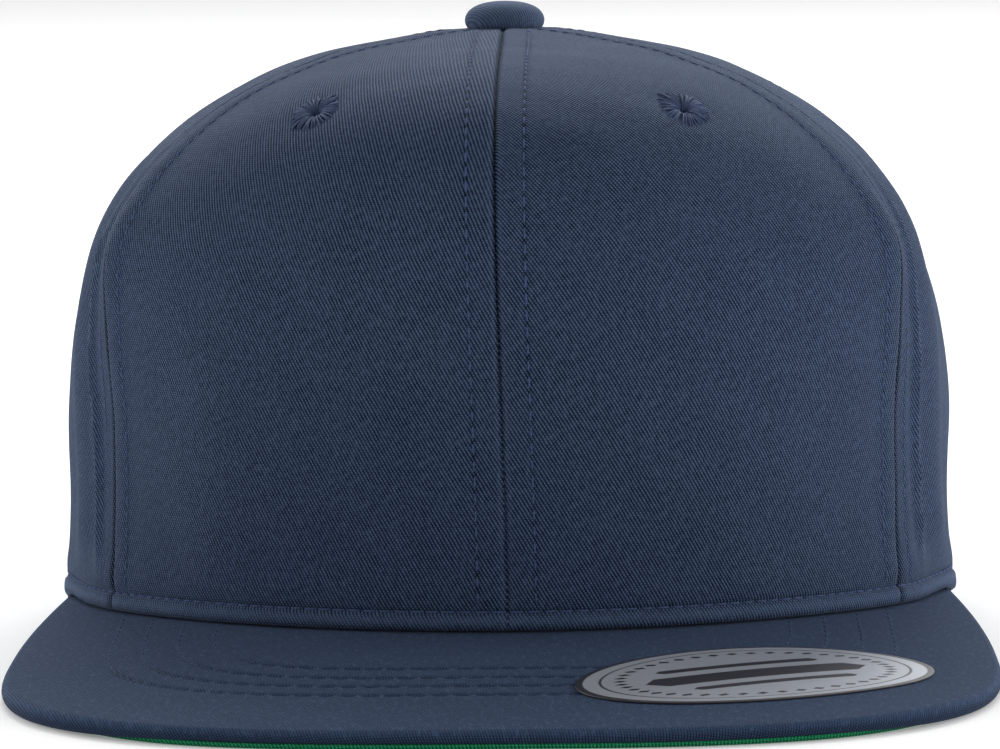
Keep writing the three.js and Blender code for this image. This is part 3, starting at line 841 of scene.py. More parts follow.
# Painted shade of the needle holes beside the middle seam and beside the others, and how far a hole spreads
MIDDLE_HOLE_SHADE = 1.1
HOLE_SHADE = 0.5
HOLE_SPREAD = 0.4
# The tape of the rear opening covers the cloth up to this far from the opening's edge, and the
# relief comes in over this much beyond it
TAPE_COVER = 8.0
TAPE_BLEND = 5.0
# The middle seam wanders: degrees off the middle at the hem, degrees that it turns back, and the
# height at which it has done so
SEAM_DRIFT = 0.72
DRIFT_BACK = 1.2
DRIFT_HEIGHT = 95
# Folds behind the seam of a front panel: distance from the seam, spread and height
SIDE_PLEATS = ((3.4, 1.4, -0.35), (7.2, 1.9, -0.55), (10.6, 1.1, 0.75), (16.5, 3.6, -1.15), (26.0, 4.5, 0.9))
# They start between the first two of these heights and end between the other two
PLEATS_START = (4, 16)
PLEATS_END = (70, 105)
# Low swells of the front cloth: angle, height, spread in degrees, tall and height over the cloth
SOFT_FORMS = (
    (-38.0, 34.0, 7.0, 30.0, 0.9),
    (-20.0, 20.0, 8.0, 16.0, -0.4),
    (30.0, 26.0, 9.0, 22.0, 0.5),
    (16.0, 70.0, 8.0, 26.0, 0.4),
)
# Rolled hem: how far it stands out, its tuck below, the nip of its stitches and the swell over them
HEM_BULGE = 0.6
HEM_TUCK = 1.1
HEM_NIP = 0.5
HEM_SWELL = 0.22
# Middle of the roll and half its height, as shares of it, and the height up to which it tucks in
ROLL_MIDDLE = 0.52
ROLL_HALF = 0.54
TUCK_HEIGHT = 0.9
# Height of the stitches over the roll, how far their nip spreads, and the swell's height and spread
HEM_ROW = 0.1
NIP_SPREAD = 0.42
SWELL_HEIGHT = 3.2
SWELL_SPREAD = 2.4
# Waves of the pressed cloth: their height and lengths, and the length of the small upright waves
# above the hem and how far up they reach
CLOTH_WAVE = 0.16
WAVE_LENGTHS = (13.0, 19.0, 27.0, 41.0, 60.0)
HEM_WAVE_LENGTH = 3.1
HEM_WAVE_REACH = 7.0
# How far the cloth sinks round an eyelet, and how wide that dimple is
EYELET_DIMPLE = 0.75
DIMPLE_SPREAD = 5.2
# How far it sinks to the button, and the distances from the top between which it does
BUTTON_SINK = 0.6
SINK_START = 12
SINK_END = 5
# Height over the hem at which the rows beside the seams start, and how far short of a panel's middle
# they end at the top
SEAM_ROW_START = 4.2
SEAM_ROW_END = 0.3
# Rows of the grid, from the hem, in which the row of stitches over it is looked for
HEM_GRID_ROWS = 40
# The hole of an eyelet in the cloth, how far the cloth stands back from the edge of the rear
# opening, and the share of a rear panel that the opening leaves
EYELET_HOLE = 1.9
OPENING_MARGIN = 0.8
REAR_SHARE = 0.78


def row_places(middle_angle):
    """Places of the grid's rows up a panel: close together at the hem, then evenly to the top."""
    fine = np.linspace(0, TOP_PLACE, 1201)
    way = travelled(crown_point(middle_angle, fine))
    count = int(round((way[-1] - HEM_LINES[-1]) / ROW_STEP))
    above = np.linspace(HEM_LINES[-1], way[-1], count + 1)[1:]
    distances = np.concatenate([HEM_LINES, above])
    return np.interp(distances, way, fine), distances


def column_distances(width):
    """Distances of the grid's columns from a panel's first seam, close together at both seams."""
    half = width / 2
    near = SEAM_LINES * min(1.0, half / SEAM_ZONE)
    beyond = near[-1] + (half - near[-1]) * np.linspace(0, 1, MIDDLE_LINES)[1:] ** MIDDLE_SPREAD
    first = np.concatenate([near, beyond])
    return np.concatenate([first, width - first[-2::-1]])


def hem_relief(height, roll):
    """The rolled hem, tucked in below and nipped by its stitches above."""
    off_middle = (height - ROLL_MIDDLE * roll) / (ROLL_HALF * roll)
    bulge = HEM_BULGE * np.sqrt(np.clip(1 - off_middle ** 2, 0, 1))
    under = 1 - np.minimum(height, TUCK_HEIGHT) / TUCK_HEIGHT
    tuck = HEM_TUCK * (1 - np.sqrt(np.clip(1 - under ** 2, 0, 1)))
    nip = HEM_NIP * hump(height, roll + HEM_ROW, NIP_SPREAD)
    return bulge - tuck - nip + HEM_SWELL * hump(height, roll + SWELL_HEIGHT, SWELL_SPREAD)


def seam_relief(distance, up, ridge, row_depth, fold_width, fold_depth, settings):
    """The fold at a seam, the layers under it and the row of stitches beside it."""
    row = settings.from_seam / MM
    fold = fold_depth * np.exp(-((distance / fold_width) ** FOLD_POWER))
    ended = smooth_step(row + LAYERS_END[0], row + LAYERS_END[1], distance)
    layers = ridge * smooth_step(0, LAYERS_START, distance) * (1 - ended)
    pull = MEAN_PULL + (1 - MEAN_PULL) * np.cos(math.tau * up / (settings.crown_pitch / MM))
    return layers - fold - row_depth * pull * hump(distance, row, ROW_SPREAD)


def soft_waves(u, v, seed):
    """Gentle unevenness of pressed cloth, from -1 to 1."""
    chance = np.random.default_rng(seed)
    total = 0.0
    for length in WAVE_LENGTHS:
        turn = chance.uniform(0, math.pi)
        start = chance.uniform(0, math.tau)
        total = total + np.sin(math.tau * (u * math.cos(turn) + v * math.sin(turn)) / length + start)
    return total / len(WAVE_LENGTHS)


class PanelSkin:
    """Outer face of one panel: points, directions out, distances from its seams and from the hem."""

    def __init__(self, kind, side, sewing):
        self.kind = kind
        self.side = side
        self.sewing = sewing
        seams = sorted(side * seam for seam in PANEL_KINDS[kind]["seams"])
        middle = sum(seams) / 2
        places, self.up = row_places(middle)
        fine = np.linspace(seams[0], seams[1], 161)
        angles = []
        distances = []
        for place in places:
            way = travelled(crown_point(fine, place))
            columns = column_distances(way[-1])
            distances.append(columns)
            angles.append(np.interp(columns, way, fine))
        self.angles = np.array(angles)
        if kind == "front":
            near_middle = 1 - np.abs(self.angles) / max(np.abs(seams))
            self.angles = self.angles + self.drift(places)[:, None] * near_middle
        self.from_first = np.array(distances)
        self.width = self.from_first[:, -1]
        self.from_last = self.width[:, None] - self.from_first
        self.from_front = self.from_first if side > 0 else self.from_last
        self.near = np.minimum(self.from_first, self.from_last)
        base = crown_point(self.angles, places[:, None])
        across = unit(self.slope(places, 0.4, 0.0))
        self.out = unit(np.cross(across, self.slope(places, 0.0, 0.02)))
        self.height = base[:, :, 2] - base[0, :, 2]
        self.over_hem = np.clip((self.height - RELIEF_STARTS) / RELIEF_RISE, 0, 1)
        self.u = self.from_first - self.width[:, None] / 2
        self.v = np.repeat(self.up[:, None], self.u.shape[1], axis=1)
        eyelet = crown_point(side * PANEL_KINDS[kind]["eyelet"], EYELET_PLACE)
        self.from_eyelet = np.linalg.norm(base - eyelet, axis=2)
        self.from_opening = from_opening(base[:, :, 0], base[:, :, 2])
        self.plain = base + self.out * self.soft_relief()[:, :, None]
        self.plain[:, 0] -= across[:, 0] * SEAM_TUCK
        self.plain[:, -1] += across[:, -1] * SEAM_TUCK
        self.points = self.plain + self.out * self.sewn_relief()[:, :, None]

    def drift(self, places):
        """Degrees by which the middle seam wanders to one side on its way up."""
        height = CROWN_HEIGHT * section_value("rise", places)
        return SEAM_DRIFT - DRIFT_BACK * smooth_step(0, DRIFT_HEIGHT, height)

    def slope(self, places, turn, rise):
        """Direction in which the crown runs when the angle or the place changes a little."""
        column = places[:, None]
        ahead = crown_point(self.angles + turn, np.minimum(column + rise, TOP_PLACE))
        return ahead - crown_point(self.angles - turn, np.maximum(column - rise, 0))

    def clear_of_tape(self):
        """0 where the rear opening's tape lies, so that the cloth is plain under it, and 1 elsewhere."""
        if self.kind != "rear":
            return 1.0
        return smooth_step(TAPE_COVER, TAPE_COVER + TAPE_BLEND, self.from_opening)

    def sewn_relief(self):
        """How far the seams and the hem make the outer face stand out."""
        ridge = SEAM_RIDGE
        row_depth = ROW_DEPTH
        fold_width = FOLD_WIDTH
        fold_depth = SEAM_DEPTH
        if self.kind == "front":
            outer = self.width[:, None] - self.from_front < STRIP
            upper = smooth_step(*MIDDLE_SEAM_HEIGHTS, self.v)
            ridge = np.where(outer, FOLDED_RIDGE, SEAM_RIDGE)
            row_depth = np.where(outer, FOLDED_ROW_DEPTH, ROW_DEPTH)
            share = np.where(outer, 1.0, MIDDLE_SEAM_SHARE + (1 - MIDDLE_SEAM_SHARE) * upper)
            fold_depth = SEAM_DEPTH * share
        if self.kind == "side":
            ridge = np.where(self.from_front < STRIP, 0.0, SEAM_RIDGE)
            fold_width = np.where(self.from_front < STRIP, TURNED_WIDTH, FOLD_WIDTH)
        seams = seam_relief(self.near, self.v, ridge, row_depth, fold_width, fold_depth, self.sewing)
        top = self.up[-1]
        seams = seams * (1 - TOP_LOSS * smooth_step(top - TOP_LOSS_START, top - TOP_LOSS_END, self.v))
        hem = hem_relief(self.height, self.sewing.hem_roll / MM)
        return (seams * (HEM_SHARE + (1 - HEM_SHARE) * self.over_hem) + hem) * self.clear_of_tape()

    def soft_relief(self):
        """Swells, waves and dimples that the cloth follows in its whole thickness."""
        seed = 7 + 3 * list(PANEL_KINDS).index(self.kind) + (self.side > 0)
        waves = CLOTH_WAVE * soft_waves(self.u, self.v, seed)
        low_waves = np.sin(self.u / HEM_WAVE_LENGTH + seed) * np.exp(-self.height / HEM_WAVE_REACH)
        forms = sum(
            high * hump(self.angles, angle, spread) * hump(self.height, height, tall)
            for angle, height, spread, tall, high in SOFT_FORMS
        )
        relief = (waves + CLOTH_WAVE * low_waves + forms) * self.over_hem
        relief = relief - EYELET_DIMPLE * hump(self.from_eyelet, 0, DIMPLE_SPREAD)
        top = self.up[-1]
        relief = relief - BUTTON_SINK * smooth_step(top - SINK_START, top - SINK_END, self.v)
        if self.kind == "side":
            relief = relief + self.side_pleats()
        return relief * self.clear_of_tape()

    def side_pleats(self):
        """Soft upright folds that run up behind the seam of a front panel."""
        fade = smooth_step(*PLEATS_START, self.v) * (1 - smooth_step(*PLEATS_END, self.v))
        drift = 1.3 * self.side + 1.7 * np.sin(self.v / 17 + self.side) + 0.5 * np.sin(self.v / 6.3)
        place = self.from_front - drift * smooth_step(3, 9, self.from_front)
        return fade * sum(high * hump(place, distance, spread) for distance, spread, high in SIDE_PLEATS)

    def needle_hole_shade(self):
        """Painted shade in the needle holes of the rows beside both seams, darkest at the middle seam."""
        distance = self.sewing.from_seam / MM
        holes = 0.0
        for from_seam in (self.from_first, self.from_last):
            points, _, up = self.row_beside_seam(from_seam)
            way = travelled(points)
            stitch = way / way[-1] * stitch_count(way[-1], self.sewing.crown_pitch / MM)
            hole = (0.5 + 0.5 * np.cos(math.tau * np.interp(self.v, up, stitch))) ** 2
            hole = hole * ((self.v > up[0]) & (self.v < up[-1]))
            holes = holes + hole * hump(from_seam, distance, HOLE_SPREAD)
        uneven = 0.65 + 0.35 * np.sin(self.v / 5.3 + 2 * np.sin(self.v / 13 + self.side))
        at_middle = (self.kind == "front") & (self.from_front < self.width[:, None] / 2)
        return holes * uneven * np.where(at_middle, MIDDLE_HOLE_SHADE, HOLE_SHADE)

    def weave(self):
        """Place in the flat cloth, and a third number that paints the cloth: paler on the seams' folds as
        rubbing, paler on the hem's roll as rubbing and painted highlight, and darker as painted shade in the
        seams' folds and needle holes.
        """
        # Paler on the fold beside each seam as rubbing, and on the hem's roll as rubbing and a painted
        # highlight where the roll faces up
        worn_and_lit = 0.2 * hump(self.near, 0.8, 0.4) + 0.5 * hump(self.height, 1.9, 0.8)
        # Painted shade in the fold at each seam, wider and darker on a side panel's turned-in front edge
        turned = (self.from_front < STRIP) & (self.kind == "side")
        low, high = (np.where(turned, *shades) for shades in zip(TURNED_SHADES, SEAM_SHADES))
        dark = low + (high - low) * smooth_step(*SHADE_HEIGHTS, self.v)
        dark = dark * hump(self.near, 0, np.where(turned, TURNED_SHADE_WIDTH, SEAM_SHADE_WIDTH))
        return np.stack([self.u, self.v, worn_and_lit - dark - self.needle_hole_shade()], axis=-1)

    def line_through(self, places, ways, distance):
        """Points and directions out where the way along each of the grid lines reaches a distance."""
        lines = [
            [
                [np.interp(distance, way, skin[place][:, axis]) for axis in range(3)]
                for place, way in zip(places, ways)
            ]
            for skin in (self.points, self.out)
        ]
        return [np.array(line) for line in lines]

    def off_tape(self, points, *others):
        """A line and what goes with it, without the part that runs under the rear opening's tape."""
        clear = slice(None)
        if self.kind == "rear":
            clear = from_opening(points[:, 0], points[:, 2]) > TAPE_COVER
        return [values[clear] for values in (points, *others)]

    def row_beside_seam(self, from_seam):
        """The line of stitches beside one of the seams, the directions out along it and its way up."""
        distance = self.sewing.from_seam / MM
        wide = self.width / 2 >= distance + SEAM_ROW_END
        rows = np.flatnonzero(wide & (self.height[:, 0] >= SEAM_ROW_START))
        places = [(row, np.argsort(from_seam[row])) for row in rows]
        ways = [from_seam[place] for place in places]
        return self.off_tape(*self.line_through(places, ways, distance), self.up[rows])

    def row_above_hem(self, height):
        """The line at a height over the hem, and the directions out along it."""
        places = [(slice(0, HEM_GRID_ROWS), column) for column in range(2, self.u.shape[1] - 2)]
        ways = [self.height[place] for place in places]
        return self.off_tape(*self.line_through(places, ways, height))


def all_skins(sewing):
    """The six panels, with their names."""
    for side, hand in ((1, "left"), (-1, "right")):
        for kind in PANEL_KINDS:
            yield kind, hand, PanelSkin(kind, side, sewing)


class CAP_OT_sew_panels(bpy.types.Operator):
    """Sews the six cloth panels of the crown"""

    bl_idname = "cap.sew_panels"
    bl_label = "Panels"

    def execute(self, context):
        cloth = context.scene.cap_cloth
        thickness = cloth.thickness / MM
        look = twill_look("navy_twill", cloth, cloth.rib, cloth.gap, cloth.lean, relief=0.00013)
        for kind, hand, skin in all_skins(context.scene.cap_sewing):
            inner = skin.plain - skin.out * thickness
            piece = grid_piece(f"{kind}_{hand}_cloth", skin.points, skin.weave(), inner)
            middles = read(piece.data.polygons, "center") / MM
            hole = crown_point(skin.side * PANEL_KINDS[kind]["eyelet"], EYELET_PLACE)
            gone = np.linalg.norm(middles - hole, axis=1) < EYELET_HOLE
            if kind == "rear":
                in_opening = from_opening(middles[:, 0], middles[:, 2]) < OPENING_MARGIN
                gone |= in_opening & (middles[:, 1] > CROWN_Y)
            remove_faces(piece, gone)
            back_with_inner_face(piece, thickness)
            finish_piece(piece, look, "navy_twill", f"panel_{kind}_{hand}")
            area = float((skin.width[1:] * np.diff(skin.up)).sum() * MM * MM)
            if kind == "rear":
                area *= REAR_SHARE
        return {"FINISHED"}


# Sewing

STITCH_SIDES = 6
# Share of a row's pitch that a stitch takes, and how unevenly the stitches turn and stretch
STITCH_SHARE = 0.76
STITCH_TURN = 0.035
STITCH_STRETCH = 0.03
# The stitches over the hem lie this far over the cloth
HEM_STITCH_LIFT = 0.12
# Rings of a stitch: place along it from -1 to 1, how thick it is there and how high it lies
STITCH_RINGS = (
    (-1.0, 0.45, -1.4), (-0.84, 0.85, -0.45), (-0.5, 1.0, 0.1), (0.0, 1.0, 0.25), (0.5, 1.0, 0.1),
    (0.84, 0.85, -0.45), (1.0, 0.45, -1.4),
)


def stitch_model(length, width):
    """One stitch: a short thread that dips into the cloth at both ends."""
    rings = [
        (thick * width / 2, (place * length / 2, 0, high * width / 2)) for place, thick, high in STITCH_RINGS
    ]
    return extruded("stitch", STITCH_SIDES, "x", rings)


def stitch_count(length, pitch):
    """How many stitches a row of this length takes."""
    return int(length / pitch)


def stitches(name, lines, pitch, width, seed):
    """Rows of stitches along lines of points with their directions out."""
    chance = np.random.default_rng(seed)
    frames = []
    for points, outs in lines:
        way = travelled(points)
        count = stitch_count(way[-1], pitch / MM)
        if count < 1:
            continue
        spacing = way[-1] / count
        middles = (np.arange(count) + 0.5) * spacing
        step = 0.3 * spacing
        along = unit(at_distance(points, middles + step) - at_distance(points, middles - step))
        out = np.stack([np.interp(middles, way, outs[:, axis]) for axis in range(3)], axis=-1)
        across = unit(np.cross(out, along))
        along = unit(along + across * chance.normal(0, STITCH_TURN, count)[:, None])
        across = unit(np.cross(out, along))
        stretch = spacing / (pitch / MM) * chance.normal(1, STITCH_STRETCH, count)
        stretched = along * stretch[:, None]
        frames.extend(zip(stretched, across, unit(np.cross(along, across)), at_distance(points, middles)))
    return joined_copies(name, stitch_model(pitch * STITCH_SHARE, width), frames)


class CAP_OT_sew_seams(bpy.types.Operator):
    """Sews the rows of stitches beside the seams and over the hem"""

    bl_idname = "cap.sew_seams"
    bl_label = "Seams and hem"

    def execute(self, context):
        sewing = context.scene.cap_sewing
        look = thread_look("navy_thread", sewing.thread)
        seam_lines = []
        hem_lines = []
        for _, _, skin in all_skins(sewing):
            for from_seam in (skin.from_first, skin.from_last):
                points, outs, _ = skin.row_beside_seam(from_seam)
                seam_lines.append((points, outs))
            points, outs = skin.row_above_hem(sewing.hem_roll / MM + HEM_ROW)
            hem_lines.append((points + outs * HEM_STITCH_LIFT, outs))
        for name, lines, seed in (("seam_stitches", seam_lines, 3), ("hem_stitches", hem_lines, 4)):
            piece = stitches(name, lines, sewing.crown_pitch, sewing.width, seed)
            finish_piece(piece, look, "navy_thread")
        return {"FINISHED"}


# Eyelets

EYELET_THREADS = 90
# A thread of an eyelet from the hole outwards: distance from the middle and height over the cloth
EYELET_PATH = ((0.6, -1.8), (0.75, -0.6), (1.2, 0.0), (2.0, 0.32), (3.1, 0.4), (4.2, 0.2), (4.9, -0.35))
EYELET_THREAD_RADIUS = 0.17
# How unevenly the threads stand round the hole and turn, in radians
EYELET_SPREAD = 0.04
EYELET_TURN = 0.13
# Height of the threads over the cloth: its mean and how uneven it is
EYELET_HEIGHT = (-0.62, 0.1)
# Stretch of the threads: its mean, how much more it is along the oval and how uneven it is
EYELET_STRETCH = (1.1, 0.15, 0.08)
# The threads are moved this far out from the middle of the hole
EYELET_SHIFT = 0.3
# Direction of the oval's long way, in radians from straight along the cloth
EYELET_LEAN = 0.9


def eyelet_thread():
    """One thread sewn over an eyelet's edge, lying along the x axis."""
    reach, high = EYELET_PATH[0]
    start = (reach * MM, 0, high * MM)
    radius = EYELET_THREAD_RADIUS * MM
    model = add(
        bpy.ops.mesh.primitive_circle_add, "thread", vertices=STITCH_SIDES, radius=radius, location=start
    )
    bpy.ops.object.transform_apply(location=True)
    with editing(model):
        tilt = 0.0
        for (next_reach, next_high), after in zip(EYELET_PATH[1:], (*EYELET_PATH[2:], None)):
            move = ((next_reach - reach) * MM, 0, (next_high - high) * MM)
            bpy.ops.mesh.extrude_edges_move(TRANSFORM_OT_translate={"value": move})
            ahead = after or (next_reach + 0.1, next_high - 0.3)
            heading = math.atan2(ahead[0] - reach, ahead[1] - high)
            middle = (next_reach * MM, 0, next_high * MM)
            bpy.ops.transform.rotate(value=tilt - heading, orient_axis="Y", center_override=middle)
            tilt = heading
            reach, high = next_reach, next_high
    close_up(model)
    return model


def cloth_frame(angle, place):
    """Axes along, up and out of the cloth at a place on the crown, and the place."""
    along = unit(crown_point(angle + 0.5, place) - crown_point(angle - 0.5, place))
    upward = crown_point(angle, place + 0.1) - crown_point(angle, place - 0.1)
    out = unit(np.cross(along, upward))
    return along, np.cross(out, along), out, crown_point(angle, place)


class CAP_OT_sew_eyelets(bpy.types.Operator):
    """Sews thread round the six air holes"""

    bl_idname = "cap.sew_eyelets"
    bl_label = "Eyelets"

    def execute(self, context):
        sewing = context.scene.cap_sewing
        look = thread_look("eyelet_thread", sewing.eyelet)
        for number, (side, hand) in enumerate(((1, "left"), (-1, "right"))):
            for kind, shape in PANEL_KINDS.items():
                chance = np.random.default_rng(40 + number * 3 + list(PANEL_KINDS).index(kind))
                along, up, out, place = cloth_frame(side * shape["eyelet"], EYELET_PLACE)
                mean, oval, uneven = EYELET_STRETCH
                frames = []
                for thread in range(EYELET_THREADS):
                    turn = math.tau * thread / EYELET_THREADS + chance.normal(0, EYELET_SPREAD)
                    heading = turn + chance.normal(0, EYELET_TURN)
                    axis = along * math.cos(heading) + up * math.sin(heading)
                    shift = EYELET_SHIFT * (along * math.cos(turn) + up * math.sin(turn))
                    spot = place + shift + out * chance.normal(*EYELET_HEIGHT)
                    longer = oval * math.cos(2 * (turn - side * EYELET_LEAN))
                    stretch = mean + longer + chance.normal(0, uneven)
                    frames.append((axis * stretch, np.cross(out, axis), out, spot))
                piece = joined_copies(f"{kind}_{hand}_eyelet", eyelet_thread(), frames)
                finish_piece(piece, look, "navy_thread", f"eyelet_{kind}_{hand}")
        return {"FINISHED"}


# Button

BUTTON_PROFILE = (
    (4.0, -3.1), (4.0, -2.3), (1.7, -2.2), (1.7, -0.9), (6.3, -1.15), (7.1, -0.95), (7.6, -0.35),
    (7.88, 0.45), (7.85, 1.3), (7.5, 2.15), (6.85, 2.95), (5.75, 3.65), (4.2, 4.2), (2.4, 4.48), (0.9, 4.58),
)
BUTTON_SIDES = 64
# Below this height the cloth is gathered in folds, this many round the button and this deep
BUTTON_GATHERED = 1.4
BUTTON_FOLDS = 17
BUTTON_FOLD_DEPTH = 0.012
# How uneven its round form is
BUTTON_UNEVEN = 0.006
# The flat cloth runs from the button's top down its side, where this share of the height counts
BUTTON_TOP = 4.6
BUTTON_WRAP = 0.6
BUTTON_RIB_LEAN = math.radians(35)


class CAP_OT_cover_button(bpy.types.Operator):
    """Covers the button on top of the crown with cloth"""

    bl_idname = "cap.cover_button"
    bl_label = "Button"

    def execute(self, context):
        cloth = context.scene.cap_cloth
        piece = lathe("covered_button", BUTTON_PROFILE, BUTTON_SIDES)
        corners = corners_of(piece) / MM
        radius = np.hypot(corners[:, 0], corners[:, 1])
        turn = np.arctan2(corners[:, 1], corners[:, 0])
        low = np.clip((BUTTON_GATHERED - corners[:, 2]) / 2, 0, 1) * (radius > 5)
        folds = BUTTON_FOLD_DEPTH * low * np.sin(turn * BUTTON_FOLDS + 1.3 * np.sin(turn * 5))
        corners[:, :2] *= (1 + folds + BUTTON_UNEVEN * np.sin(turn * 3 + 1))[:, None]
        wrap = radius + np.clip(BUTTON_TOP - corners[:, 2], 0, 6) * (radius > 3) * BUTTON_WRAP
        weave = np.stack([wrap * np.cos(turn), wrap * np.sin(turn), 0.25 * low], axis=-1)
        corners += (0, CROWN_Y, CROWN_HEIGHT + CROWN_LEAN * CROWN_HALF_LENGTH)
        place_corners(piece, corners * MM)
        keep(piece, "weave", weave)
        apply_modifier(piece, "SUBSURF", levels=1, render_levels=1)
        # The button's twill, painted paler than the crown's as light
        look = twill_look(
            "button_twill", cloth, cloth.button_rib_lit, cloth.button_gap_lit, BUTTON_RIB_LEAN, relief=0.00007,
        )
        finish_piece(piece, look, "navy_twill", "button")
        return {"FINISHED"}


# Peak

# Rows of stitches on the peak: distance from the front edge, and half the width between their tails
PEAK_ROWS = ((26.5, 72.0), (33.0, 66.0), (39.3, 59.5), (46.0, 53.0))
PEAK_COLUMNS = 541
ROW_POINTS = 600
# Depth of a row's channel, and the share of it that is left between two stitches
PEAK_CHANNEL = 0.4
LOOSE_SHARE = 0.4
# Beside the crown the rows are worn flat: the places between which they come to their whole depth,
# and the share of it that they have where they are worn
ROW_WEAR = (-108, -122)
WORN_SHARE = 0.12
# How far a row's channel and its painted shade spread, and how strong the painted shade is
CHANNEL_SPREAD = 0.75
SHADE_SPREAD = 0.52
SHADE_STRENGTH = 1.3
# The threads above lie this far over the rows, and sink this much further where the rows are worn
THREAD_LIFT = 0.06
WORN_SINK = 0.15
# Shares of the mesh's rows, and how far from the root to the rim they reach: they lie closest where
# the stitches run
MESH_SHARES = (0, 0.2, 0.78, 1)
MESH_REACHES = (0, 0.3, 0.7, 1)
# Rows round the rim, and back along its underside
RIM_ROWS = 13
WRAP_ROWS = 6


def peak_curve(half_width, reach, taper, count):
    """Plan of the peak, or a line nested in it, from its right tail round the front to its left."""
    turn = np.linspace(-math.pi / 2, math.pi / 2, 161)
    x = half_width * np.sign(turn) * np.abs(np.sin(turn)) ** (2 / PEAK_POWER_X)
    y = PEAK_WIDEST_Y - reach * np.abs(np.cos(turn)) ** (2 / PEAK_POWER_Y)
    share = np.linspace(0, 1, 25)[1:]
    tail_x = half_width - taper * share * share
    tail_y = PEAK_WIDEST_Y + (PEAK_TAIL_Y - PEAK_WIDEST_Y) * share
    line = np.concatenate([
        np.stack([-tail_x, tail_y], axis=1)[::-1],
        np.stack([x, y], axis=1),
        np.stack([tail_x, tail_y], axis=1),
    ])
    return at_distance(line, np.linspace(0, travelled(line)[-1], count))


def peak_outline(inset):
    """Plan of the peak's rim, or of a line inside it."""
    reach = CROWN_HALF_LENGTH + PEAK_REACH + PEAK_WIDEST_Y - inset
    return peak_curve(PEAK_HALF_WIDTH - inset, reach, PEAK_TAPER, PEAK_COLUMNS)


def root_line(inset):
    """The line on which the crown stands on the peak, or one inside it."""
    widest = math.acos(-PEAK_TAIL_Y / CROWN_HALF_LENGTH)
    turn = np.linspace(-widest, widest, PEAK_COLUMNS)
    x = (CROWN_HALF_WIDTH - inset) * np.sin(turn)
    return np.stack([x, -(CROWN_HALF_LENGTH - inset) * np.cos(turn)], axis=1)


def peak_rows():
    """The nested rows of stitches, cut off where the crown stands."""
    for front, half_width in PEAK_ROWS:
        reach = CROWN_HALF_LENGTH + PEAK_REACH + PEAK_WIDEST_Y - front
        line = peak_curve(half_width, reach, 0.0, ROW_POINTS)
        outside = np.hypot(line[:, 0] / CROWN_HALF_WIDTH, line[:, 1] / CROWN_HALF_LENGTH) > 0.995
        yield line[outside]


def row_share(y):
    """1 where the rows run across the peak, 0 at their tails beside the crown, which use has pressed flat.
    """
    return smooth_step(*ROW_WEAR, y)


def row_depth(y):
    """Depth of the rows."""
    return PEAK_CHANNEL * (WORN_SHARE + (1 - WORN_SHARE) * row_share(y))


def thread_lift(y):
    """Height of the threads over the peak's plain top face."""
    return THREAD_LIFT - row_depth(y) - WORN_SINK * (1 - row_share(y))


def sewn_channels(x, y, pitch):
    """How far the rows press the peak's cloth in, and a painted shade along each stitch, with a painted
    highlight between stitches.
    """
    spots = []
    holds = []
    for line in peak_rows():
        way = travelled(line)
        spots.append(line)
        holds.append(0.5 - 0.5 * np.cos(math.tau * stitch_count(way[-1], pitch) * way / way[-1]))
    spots = np.concatenate(spots)
    holds = np.minimum(1, 2.2 * np.concatenate(holds))
    gaps = (x[:, None] - spots[:, 0]) ** 2 + (y[:, None] - spots[:, 1]) ** 2
    nearest = np.sqrt(gaps.min(axis=1))
    hold = holds[gaps.argmin(axis=1)]
    share = row_share(y)
    depth = row_depth(y) * (LOOSE_SHARE + (1 - LOOSE_SHARE) * hold) * hump(nearest, 0, CHANNEL_SPREAD)
    # Painted shade along each stitch, a painted highlight in the gaps between stitches, and paler tails
    # beside the crown
    shade = (share * (1.6 * hold - 0.4) - (1 - share) * 0.3) * hump(nearest, 0, SHADE_SPREAD)
    return depth, shade


# Where the navy wraps further under the rim: how much deeper its edge is, and how far back that reaches
WRAP_DEPTH = 0.85
WRAP_BACK = 2.6
# The green edge stands back from the rim by this much more than the wrap
WRAP_MARGIN = 0.8
# Places across the peak between which it starts to do so: on the right, on the left, and a small
# share of it already at the middle
WRAP_RIGHT = (44, 84)
WRAP_LEFT = (52, 88)
WRAP_MIDDLE = (-25, 12)
WRAP_MIDDLE_SHARE = 0.15


def wrapped(x):
    """1 where the navy cloth wraps right under the rim, 0 where the green edge shows."""
    middle = WRAP_MIDDLE_SHARE * smooth_step(*WRAP_MIDDLE, x)
    left = (1 - WRAP_MIDDLE_SHARE) * smooth_step(*WRAP_LEFT, x)
    return np.clip(middle + left + smooth_step(*WRAP_RIGHT, -x), 0, 1)


def navy_wrap(x):
    """How much deeper than the board the navy's edge lies."""
    return WRAP_DEPTH * wrapped(x)


def green_inset(x):
    """How far the green edge stands back from the rim."""
    return UNDER_INSET + (WRAP_BACK + WRAP_MARGIN) * wrapped(x) ** 2


